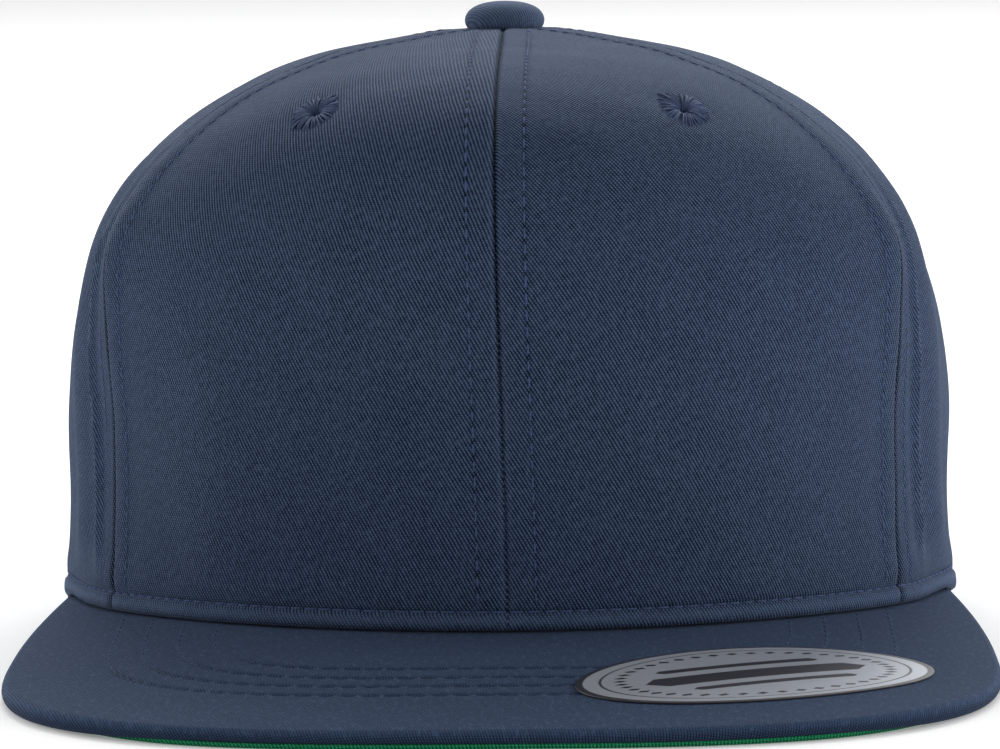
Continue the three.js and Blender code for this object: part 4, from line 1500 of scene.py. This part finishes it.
def peak_layer(depth, thickness, inset, wrap, top_rows, bottom_rows, pitch=None):
    """A layer of the peak as a closed loop of rows: over the top, round the rim and back below. inset
    and wrap say how far its edge stands back and how much deeper it is at places across the peak."""
    root = root_line(0.0)
    ledge = root_line(LEDGE)
    edge = peak_outline(0.0)
    outward = unit(edge - peak_outline(1.0))
    radius = (thickness + wrap(edge[:, 0])) / 2
    rim = edge - outward * (radius + inset(edge[:, 0]))[:, None]
    rows = []
    weave = []

    def lay(spot, drop, flat, wear_and_painted_light=0.0, over=None):
        x, y = (spot if over is None else over).T
        rows.append(np.column_stack([spot[:, 0], spot[:, 1] + CROWN_Y, peak_top(x, y) - depth - drop]))
        weave.append(np.column_stack([flat, wear_and_painted_light + np.zeros(len(flat))]))

    lay(ledge, 0.0, ledge, over=root)
    for share in np.interp(np.linspace(0, 1, top_rows), MESH_SHARES, MESH_REACHES):
        spot = root + (rim - root) * share
        press, shade = sewn_channels(spot[:, 0], spot[:, 1], pitch) if pitch else (0.0, 0.0)
        # The rows' painted shade and highlight go into the weave's third number
        lay(spot, press, spot, -SHADE_STRENGTH * shade)
    for turn in np.linspace(0, math.pi, RIM_ROWS)[1:-1]:
        spot = rim + outward * (radius * math.sin(turn))[:, None]
        # Painted highlight along the top of the rolled rim, and painted shade on its underside
        wear_and_painted_light = 0.2 * hump(turn, 0.6, 0.3) - 0.75 * smooth_step(0.9, 1.8, turn)
        lay(spot, radius * (1 - math.cos(turn)), rim + outward * (radius * turn)[:, None], wear_and_painted_light)
    for back in np.linspace(0, WRAP_BACK, WRAP_ROWS):
        spot = rim - outward * back
        left = 0.5 + 0.5 * math.cos(math.pi * back / WRAP_BACK)
        lay(spot, thickness + (2 * radius - thickness) * left, spot)
    inner = rim - outward * WRAP_BACK
    for share in np.linspace(1, 0, bottom_rows)[1:]:
        spot = root + (inner - root) * share
        lay(spot, thickness, spot)
    lay(ledge, thickness, ledge, over=root)
    lay(ledge, 0.0, ledge, over=root)
    return np.array(rows), np.array(weave)


class CAP_OT_cover_peak(bpy.types.Operator):
    """Covers the peak's board with cloth, above and below"""

    bl_idname = "cap.cover_peak"
    bl_label = "Peak"

    def execute(self, context):
        cloth = context.scene.cap_cloth
        pitch = context.scene.cap_sewing.peak_pitch / MM
        lean = cloth.peak_lean
        # The peak's twill, painted darker than the crown's as shade
        look = twill_look(
            "peak_twill", cloth, cloth.peak_rib_shaded, cloth.peak_gap, lean,
            relief=0.00006, sheen=0.3, pitch=0.82, nap=0.5,
        )
        points, weave = peak_layer(
            0.0, PEAK_BOARD, np.zeros_like, navy_wrap, top_rows=130, bottom_rows=8, pitch=pitch,
        )
        piece = grid_piece("peak_cover", points, weave)
        close_up(piece)
        finish_piece(piece, look, "navy_twill", "peak")
        look = twill_look(
            "green_twill", cloth, cloth.under, cloth.under_gap, lean, relief=0.0001, sheen=0.5,
        )
        points, weave = peak_layer(
            UNDER_DEPTH, UNDER_CLOTH, green_inset, np.zeros_like, top_rows=8, bottom_rows=60,
        )
        piece = grid_piece("under_cover", points, weave)
        close_up(piece)
        finish_piece(piece, look, "green_twill", "under_peak")
        return {"FINISHED"}


def peak_line(line, lift, facing):
    """Lifts a line in plan onto the peak, with its directions out."""
    x, y = line.T
    step = 0.5
    slope_x = (peak_top(x + step, y) - peak_top(x - step, y)) / (2 * step)
    slope_y = (peak_top(x, y + step) - peak_top(x, y - step)) / (2 * step)
    out = unit(np.column_stack([-slope_x, -slope_y, np.ones(len(x))])) * facing
    return np.column_stack([x, y + CROWN_Y, peak_top(x, y) + lift]), out


class CAP_OT_sew_peak(bpy.types.Operator):
    """Sews the nested rows of stitches through the peak"""

    bl_idname = "cap.sew_peak"
    bl_label = "Peak rows"

    def execute(self, context):
        sewing = context.scene.cap_sewing
        above = [peak_line(line, thread_lift(line[:, 1]), 1) for line in peak_rows()]
        below = [peak_line(line, -UNDER_DEPTH - UNDER_CLOTH, -1) for line in peak_rows()]
        # The threads on the peak are painted darker as shade in the rows' channels
        piece = stitches("peak_stitches", above, sewing.peak_pitch, sewing.width, seed=5)
        finish_piece(piece, thread_look("peak_thread", sewing.peak_thread), "navy_thread")
        piece = stitches("under_stitches", below, sewing.peak_pitch, sewing.width * 0.8, seed=6)
        finish_piece(piece, thread_look("green_thread", sewing.under_thread), "green_twill")
        return {"FINISHED"}


# Sticker

# Place of its middle on the peak, gap below it and thickness of the foil
STICKER_CENTRE = np.array([45.7, -130.5])
STICKER_LIFT = 0.06
STICKER_FOIL = 0.34
STICKER_SIDES = 96
# Shares of the oval's size at which its mesh has a ring
STICKER_RINGS = (0.985, 0.95, 0.85, 0.7, 0.55, 0.4, 0.25, 0.1)


class CAP_OT_stick_sticker(bpy.types.Operator):
    """Sticks the oval foil to the peak"""

    bl_idname = "cap.stick_sticker"
    bl_label = "Sticker"

    def execute(self, context):
        trim = context.scene.cap_trim
        half_length = trim.sticker_length / 2 / MM
        half_width = trim.sticker_width / 2 / MM
        piece = add(bpy.ops.mesh.primitive_circle_add, "foil_sticker", vertices=STICKER_SIDES, radius=1)
        with editing(piece):
            ring = 1.0
            for share in STICKER_RINGS:
                bpy.ops.mesh.extrude_edges_move()
                bpy.ops.transform.resize(value=(share / ring, share / ring, 1))
                ring = share
            bpy.ops.mesh.edge_face_add()
        flat = corners_of(piece) * (half_length, half_width, 0)
        sine = math.sin(trim.sticker_turn)
        cosine = math.cos(trim.sticker_turn)
        spot = flat[:, :2] @ np.array([[cosine, sine], [-sine, cosine]]) + STICKER_CENTRE
        z = peak_top(spot[:, 0], spot[:, 1]) + STICKER_LIFT + STICKER_FOIL
        place_corners(piece, np.column_stack([spot[:, 0], spot[:, 1] + CROWN_Y, z]) * MM)
        keep(piece, "weave", flat)
        with editing(piece):
            bpy.ops.mesh.normals_make_consistent(inside=False)
        if piece.data.polygons[0].normal.z < 0:
            piece.data.flip_normals()
        thicken(piece, STICKER_FOIL)
        bevel(piece, width=0.12, segments=2)
        look = foil_look("silver_foil", trim.silver, trim.ink, half_length, half_width)
        finish_piece(piece, look, "silver_foil", "sticker")
        return {"FINISHED"}


# Sweatband

# Where the band ends beside the rear opening, its height, how far inside the crown's face it lies and
# its thickness
BAND_END_ANGLE = 137.0
BAND_HEIGHT = 30.0
BAND_INSET = 2.2
BAND_THICKNESS = 1.1
# Columns of its mesh, and the shares of its height at which there is a row
BAND_COLUMNS = 301
BAND_RISES = np.concatenate([np.linspace(0.004, 0.05, 4)[:-1], np.linspace(0.05, 1, 26)])
# Height of the row of stitches on the band, how far they nip it and how deep their threads sink in
BAND_ROW = 3.4
BAND_NIP = 0.35
BAND_THREAD_SINK = 0.25
# The band stands off in waves: how many round the head, and how far at its top
BAND_WAVES = 9
BAND_EASE = 0.3


class CAP_OT_sew_sweatband(bpy.types.Operator):
    """Sews the band inside the hem"""

    bl_idname = "cap.sew_sweatband"
    bl_label = "Sweatband"

    def execute(self, context):
        cloth = context.scene.cap_cloth
        sewing = context.scene.cap_sewing
        angles = np.linspace(-BAND_END_ANGLE, BAND_END_ANGLE, BAND_COLUMNS)
        rows = []
        weave = []
        for rise in BAND_RISES:
            place = place_at_rise(rise * BAND_HEIGHT / CROWN_HEIGHT)
            ease = BAND_EASE * rise * np.sin(np.radians(angles) * BAND_WAVES + 4 * rise)
            nip = BAND_NIP * hump(rise * BAND_HEIGHT, BAND_ROW, 0.7)
            line = crown_point(angles, place, BAND_INSET + ease - nip)
            flat = np.zeros_like(line)
            flat[:, 0] = travelled(line)
            flat[:, 1] = rise * BAND_HEIGHT
            flat[:, 2] = 0.4 * hump(rise, 1, 0.04)
            rows.append(line)
            weave.append(flat)
        piece = grid_piece("sweatband_cloth", np.array(rows), np.array(weave))
        thicken(piece, BAND_THICKNESS)
        bevel(piece, width=0.35, segments=2)
        gap = toned(cloth.band, 0.45)
        look = twill_look("band_cloth", cloth, cloth.band, gap, cloth.lean, relief=0.00009)
        finish_piece(piece, look, "band_cloth", "sweatband")
        flat = (BAND_HEIGHT * MM, travelled(rows[len(rows) // 2])[-1] * MM)
        angles = angles[4:-4]
        place = place_at_rise(BAND_ROW / CROWN_HEIGHT)
        line = crown_point(angles, place, BAND_INSET + BAND_THICKNESS - BAND_THREAD_SINK)
        inward = unit(crown_point(angles, place, 5.0) - line)
        piece = stitches("sweatband_stitches", [(line, inward)], sewing.crown_pitch, sewing.width, seed=8)
        finish_piece(piece, thread_look("band_thread", sewing.thread), "navy_thread")
        return {"FINISHED"}


# Binding of the rear opening

TAPE = 0.8
TAPE_CLEARANCE = 0.12
TAPE_REACH = 7.0
# Depth of the tape's two outer faces under the crown's face, and how far inside the opening its
# fold and the fold's inner face lie
TAPE_OUTSIDE = -TAPE_CLEARANCE - TAPE
TAPE_INSIDE = CLOTH + TAPE_CLEARANCE + TAPE
TAPE_FOLD = -1.1
TAPE_FOLD_INNER = -0.3
# Section of the tape: how far away from the opening's edge, and how deep under the crown's face
TAPE_SECTION = (
    (TAPE_REACH, -TAPE_CLEARANCE),
    (TAPE_REACH, TAPE_OUTSIDE),
    (TAPE_REACH / 2, TAPE_OUTSIDE),
    (TAPE_FOLD, TAPE_OUTSIDE),
    (TAPE_FOLD, TAPE_INSIDE),
    (TAPE_REACH / 2, TAPE_INSIDE),
    (TAPE_REACH, TAPE_INSIDE),
    (TAPE_REACH, CLOTH + TAPE_CLEARANCE),
    (TAPE_FOLD_INNER, CLOTH + TAPE_CLEARANCE),
    (TAPE_FOLD_INNER, -TAPE_CLEARANCE),
)
# The row of stitches lies this far from the tape's edge
TAPE_ROW = 1.3
TAPE_COLUMNS = 97
TAPE_RIB_LEAN = math.radians(60)
# Height of the crown over its rear wall, from which the share of the rise is worked out
REAR_HEIGHT = CROWN_HEIGHT + CROWN_LEAN * 10


def opening_edge(count):
    """Points of the opening's edge in x and z, with the directions away from the opening."""
    side = OPENING_SIDE_HEIGHT / OPENING_HALF_WIDTH
    way = np.linspace(-side, math.pi + side, count)
    turn = np.clip(way, 0, math.pi)
    away = np.column_stack([np.cos(turn), np.sin(turn)])
    sink = OPENING_HALF_WIDTH * np.abs(turn - way)
    x = OPENING_HALF_WIDTH * away[:, 0]
    z = OPENING_SIDE_HEIGHT + OPENING_HALF_WIDTH * away[:, 1] - sink
    return x, z, away


def rear_point(x, z, inset):
    """Points of the crown's rear with these x and heights."""
    place = place_at_rise(np.clip(z / REAR_HEIGHT, 0, 1))
    turn = np.zeros_like(x)
    for _ in range(6):
        reach = crown_reach(180 - turn, place)
        turn = np.degrees(np.arcsin(np.abs(x) / (CROWN_HALF_WIDTH * reach)))
    point = crown_point(np.where(x < 0, turn - 180, 180 - turn), place, inset)
    point[:, 2] = z
    return point


class CAP_OT_bind_opening(bpy.types.Operator):
    """Binds the rear opening with a folded tape"""

    bl_idname = "cap.bind_opening"
    bl_label = "Rear opening"

    def execute(self, context):
        cloth = context.scene.cap_cloth
        sewing = context.scene.cap_sewing
        x, z, away = opening_edge(TAPE_COLUMNS)
        length = travelled(np.column_stack([x, z]))
        rows = []
        weave = []
        wrap = 0.0
        last = TAPE_SECTION[0]
        for reach, inset in (*TAPE_SECTION, TAPE_SECTION[0]):
            wrap += math.hypot(reach - last[0], inset - last[1])
            last = (reach, inset)
            height = np.maximum(z + away[:, 1] * reach, 0.0)
            rows.append(rear_point(x + away[:, 0] * reach, height, inset))
            weave.append(np.column_stack([np.full(len(x), wrap), length, np.zeros(len(x))]))
        piece = grid_piece("opening_tape", np.array(rows), np.array(weave))
        close_up(piece)
        bevel(piece, width=0.32, segments=3)
        look = twill_look("tape_twill", cloth, cloth.rib, cloth.gap, TAPE_RIB_LEAN, relief=0.0001)
        finish_piece(piece, look, "navy_twill", "rear_opening_binding")
        reach = TAPE_REACH - TAPE_ROW
        height = np.maximum(z + away[:, 1] * reach, 0.4)
        outer, beyond, inner = (
            rear_point(x + away[:, 0] * reach, height, inset)
            for inset in (TAPE_OUTSIDE, TAPE_OUTSIDE - 2, TAPE_INSIDE)
        )
        out = unit(beyond - outer)
        lines = [(outer, out), (inner, -out)]
        piece = stitches("opening_stitches", lines, sewing.crown_pitch, sewing.width, seed=9)
        finish_piece(piece, thread_look("tape_thread", sewing.thread), "navy_thread")
        return {"FINISHED"}


# Snap strap

# Height of the strap, half its span, and the half lengths up to which it is doubled and past which
# it is single
STRAP_HEIGHT = 18.0
STRAP_HALF_SPAN = 55.0
STRAP_OVERLAP = 23.0
STRAP_ENTRY = 30.0
# How far its face lies inside the hem's ellipse at its ends and under the studs
STRAP_END_INSET = 4.1
STRAP_STUD_INSET = 0.8
# Its thickness where it is doubled and where it is single
STRAP_DOUBLE = 2.8
STRAP_SINGLE = 1.5
STRAP_COLUMNS = 93
STUD_SPACING = 9.0
STUD_COUNT = 5
STUD_SIDES = 24
# Profile of a stud's head: radius, and height over the strap
STUD_PROFILE = ((2.6, -0.5), (2.6, 0.25), (2.45, 0.6), (2.0, 0.8), (1.2, 0.8), (0.9, 0.6), (0.3, 0.55))


def strap_point(x, z, inset):
    """Points of the strap, which follows the hem's ellipse."""
    turn = np.arcsin(x / CROWN_HALF_WIDTH)
    across = (CROWN_HALF_WIDTH - inset) * np.sin(turn)
    back = (CROWN_HALF_LENGTH - inset) * np.cos(turn) + CROWN_Y
    return np.stack(np.broadcast_arrays(across, back, z), axis=-1)


class CAP_OT_mould_strap(bpy.types.Operator):
    """Moulds the plastic strap with its row of studs"""

    bl_idname = "cap.mould_strap"
    bl_label = "Snap strap"

    def execute(self, context):
        x = np.linspace(-STRAP_HALF_SPAN, STRAP_HALF_SPAN, STRAP_COLUMNS)
        single = smooth_step(STRAP_OVERLAP, STRAP_ENTRY, np.abs(x))
        face = STRAP_STUD_INSET + (STRAP_END_INSET - STRAP_STUD_INSET) * single
        thickness = STRAP_DOUBLE + (STRAP_SINGLE - STRAP_DOUBLE) * single
        corners = ((0.0, 0.0), (0.0, 1.0), (1.0, 1.0), (1.0, 0.0), (0.0, 0.0))
        rows = np.array([
            strap_point(x, up * STRAP_HEIGHT, face + deep * thickness) for deep, up in corners
        ])
        piece = grid_piece("plastic_strap", rows, np.zeros(rows.shape))
        close_up(piece)
        bevel(piece, width=0.5, segments=3)
        frames = []
        for stud in range(STUD_COUNT):
            place_x = (stud - (STUD_COUNT - 1) / 2) * STUD_SPACING
            place = strap_point(place_x, STRAP_HEIGHT / 2, STRAP_STUD_INSET)
            out = unit(strap_point(place_x, STRAP_HEIGHT / 2, 0.0) - place)
            along = unit(np.cross(out, (0.0, 0.0, 1.0)))
            frames.append((along, np.cross(out, along), out, place))
        studs = joined_copies("strap_studs", lathe("stud", STUD_PROFILE, STUD_SIDES), frames)
        look = plastic_look("strap_plastic", context.scene.cap_trim.strap)
        only(piece)
        studs.select_set(True)
        bpy.ops.object.join()
        finish_piece(piece, look, "strap_plastic", "snap_strap")
        return {"FINISHED"}


# Stage

# The place that the camera looks at, in metres
CAMERA_AIM = (-0.0016, CROWN_Y * MM, 0.0465)
# Floor in metres: its size, how high its far edge turns up, and how wide the turn is
FLOOR_SIZE = (16, 20, 1)
BACKDROP_HEIGHT = 3
FLOOR_TURN = 1.2
# Where the lights stand, how wide they are, and the place that they point to, in metres
LIGHTS = {
    "front": ((1.25, -1.25, 0.3), 0.8),
    "top": ((0.0, 1.7, 1.5), 1.3),
    "left": ((-1.2, 0.45, 0.25), 0.6),
    "right": ((1.2, 0.45, 0.25), 0.6),
}
LIGHT_AIM = (0, CROWN_Y * MM, 0.06)
# The surroundings turn from dark to bright over this much on each side of the middle
SKY_BLEND = 0.6


class CAP_OT_set_stage(bpy.types.Operator):
    """Sets the floor, the soft lights and the camera"""

    bl_idname = "cap.set_stage"
    bl_label = "Stage"

    def execute(self, context):
        stage = context.scene.cap_stage
        self.add_floor(stage)
        self.add_lights(context.scene, stage)
        self.add_camera(context.scene, stage)
        context.scene.view_settings.view_transform = "Standard"
        context.scene.view_settings.look = "None"
        return {"FINISHED"}

    def add_floor(self, stage):
        """A pale floor that turns up into a backdrop."""
        floor = add(bpy.ops.mesh.primitive_plane_add, "floor", size=1)
        with editing(floor):
            bpy.ops.transform.resize(value=FLOOR_SIZE)
            bpy.ops.mesh.select_mode(type="EDGE")
            bpy.ops.mesh.select_all(action="DESELECT")
        for edge in floor.data.edges:
            edge.select = all(floor.data.vertices[corner].co.y > 0 for corner in edge.vertices)
        with editing(floor, None):
            bpy.ops.mesh.extrude_edges_move(TRANSFORM_OT_translate={"value": (0, 0, BACKDROP_HEIGHT)})
        apply_modifier(floor, "BEVEL", width=FLOOR_TURN, segments=12, limit_method="ANGLE")
        bpy.ops.object.shade_smooth()
        look = Look("pale_floor")
        speck = look.noise(look.object_place(), 40.0, 3.0)
        floor.data.materials.append(look.finish(
            Base_Color=look.mix(speck, toned(stage.floor, 0.985), stage.floor),
            Roughness=0.9,
            Specular_IOR_Level=0.2,
            Emission_Color=(1.0, 1.0, 1.0, 1.0),
            Emission_Strength=stage.glow,
        ))

    def add_lights(self, scene, stage):
        """White surroundings and four round lights."""
        scene.world = bpy.data.worlds.new("studio")
        sky = Look("studio", scene.world)
        x, y, z = sky.separate(Value(sky, sky.node("ShaderNodeTexCoord").outputs["Generated"]))
        inputs = {
            "Value": y + sky.math("ABSOLUTE", x) * stage.sideways - z * stage.overhead,
            "From Min": -SKY_BLEND,
            "From Max": SKY_BLEND,
            "To Min": stage.before,
            "To Max": stage.behind,
        }
        blend = sky.node("ShaderNodeMapRange", {"interpolation_type": "SMOOTHSTEP"}, inputs)
        inputs = {"Color": (1, 1, 1, 1), "Strength": Value(sky, blend.outputs[0])}
        background = sky.node("ShaderNodeBackground", None, inputs)
        output = sky.node("ShaderNodeOutputWorld")
        sky.tree.links.new(background.outputs[0], output.inputs[0])
        for name, (place, size) in LIGHTS.items():
            bpy.ops.object.light_add(type="AREA", location=place)
            light = bpy.context.active_object
            light.name = f"{name}_light"
            light.data.shape = "DISK"
            light.data.size = size
            light.data.energy = getattr(stage, f"{name}_power")
            aim = Vector(LIGHT_AIM) - Vector(place)
            light.rotation_euler = aim.to_track_quat("-Z", "Y").to_euler()

    def add_camera(self, scene, stage):
        """The camera in front, a little above the crown's middle."""
        place = Vector((
            stage.distance * math.sin(stage.turn),
            CROWN_Y * MM - stage.distance * math.cos(stage.turn),
            stage.height,
        ))
        forward = (Vector(CAMERA_AIM) - place).normalized()
        right = forward.cross(Vector((0, 0, 1))).normalized()
        up = right.cross(forward)
        leaning_right = right * math.cos(stage.roll) - up * math.sin(stage.roll)
        leaning_up = up * math.cos(stage.roll) + right * math.sin(stage.roll)
        bpy.ops.object.camera_add(location=place)
        camera = bpy.context.active_object
        turned = Matrix((leaning_right, leaning_up, -forward)).transposed()
        camera.matrix_world = Matrix.Translation(place) @ turned.to_4x4()
        camera.data.lens = stage.lens
        camera.data.clip_start = 0.05
        camera.data.clip_end = 30
        scene.camera = camera


class CAP_PT_panel(bpy.types.Panel):
    """Lists the cap's settings and the steps that make it"""

    bl_label = "Six-panel cap"
    bl_idname = "CAP_PT_panel"
    bl_space_type = "VIEW_3D"
    bl_region_type = "UI"
    bl_category = "Cap"

    def draw(self, context):
        for group in ("cap_cloth", "cap_sewing", "cap_trim", "cap_stage"):
            box = self.layout.box()
            settings = getattr(context.scene, group)
            for name in settings.__annotations__:
                box.prop(settings, name)
        for operator in OPERATORS:
            self.layout.operator(operator.bl_idname)


GROUPS = {"cap_cloth": CapCloth, "cap_sewing": CapSewing, "cap_trim": CapTrim, "cap_stage": CapStage}
OPERATORS = (
    CAP_OT_sew_panels,
    CAP_OT_sew_seams,
    CAP_OT_sew_eyelets,
    CAP_OT_cover_button,
    CAP_OT_cover_peak,
    CAP_OT_sew_peak,
    CAP_OT_stick_sticker,
    CAP_OT_sew_sweatband,
    CAP_OT_bind_opening,
    CAP_OT_mould_strap,
    CAP_OT_set_stage,
)


def register():
    for group in GROUPS.values():
        bpy.utils.register_class(group)
    for name, group in GROUPS.items():
        setattr(bpy.types.Scene, name, bpy.props.PointerProperty(type=group))
    for operator in OPERATORS:
        bpy.utils.register_class(operator)
    bpy.utils.register_class(CAP_PT_panel)


def unregister():
    bpy.utils.unregister_class(CAP_PT_panel)
    for operator in reversed(OPERATORS):
        bpy.utils.unregister_class(operator)
    for name, group in reversed(GROUPS.items()):
        delattr(bpy.types.Scene, name)
        bpy.utils.unregister_class(group)


def main():
    register()
    for operator in OPERATORS:
        group, name = operator.bl_idname.split(".")
        getattr(getattr(bpy.ops, group), name)()


if __name__ == "__main__":
    main()
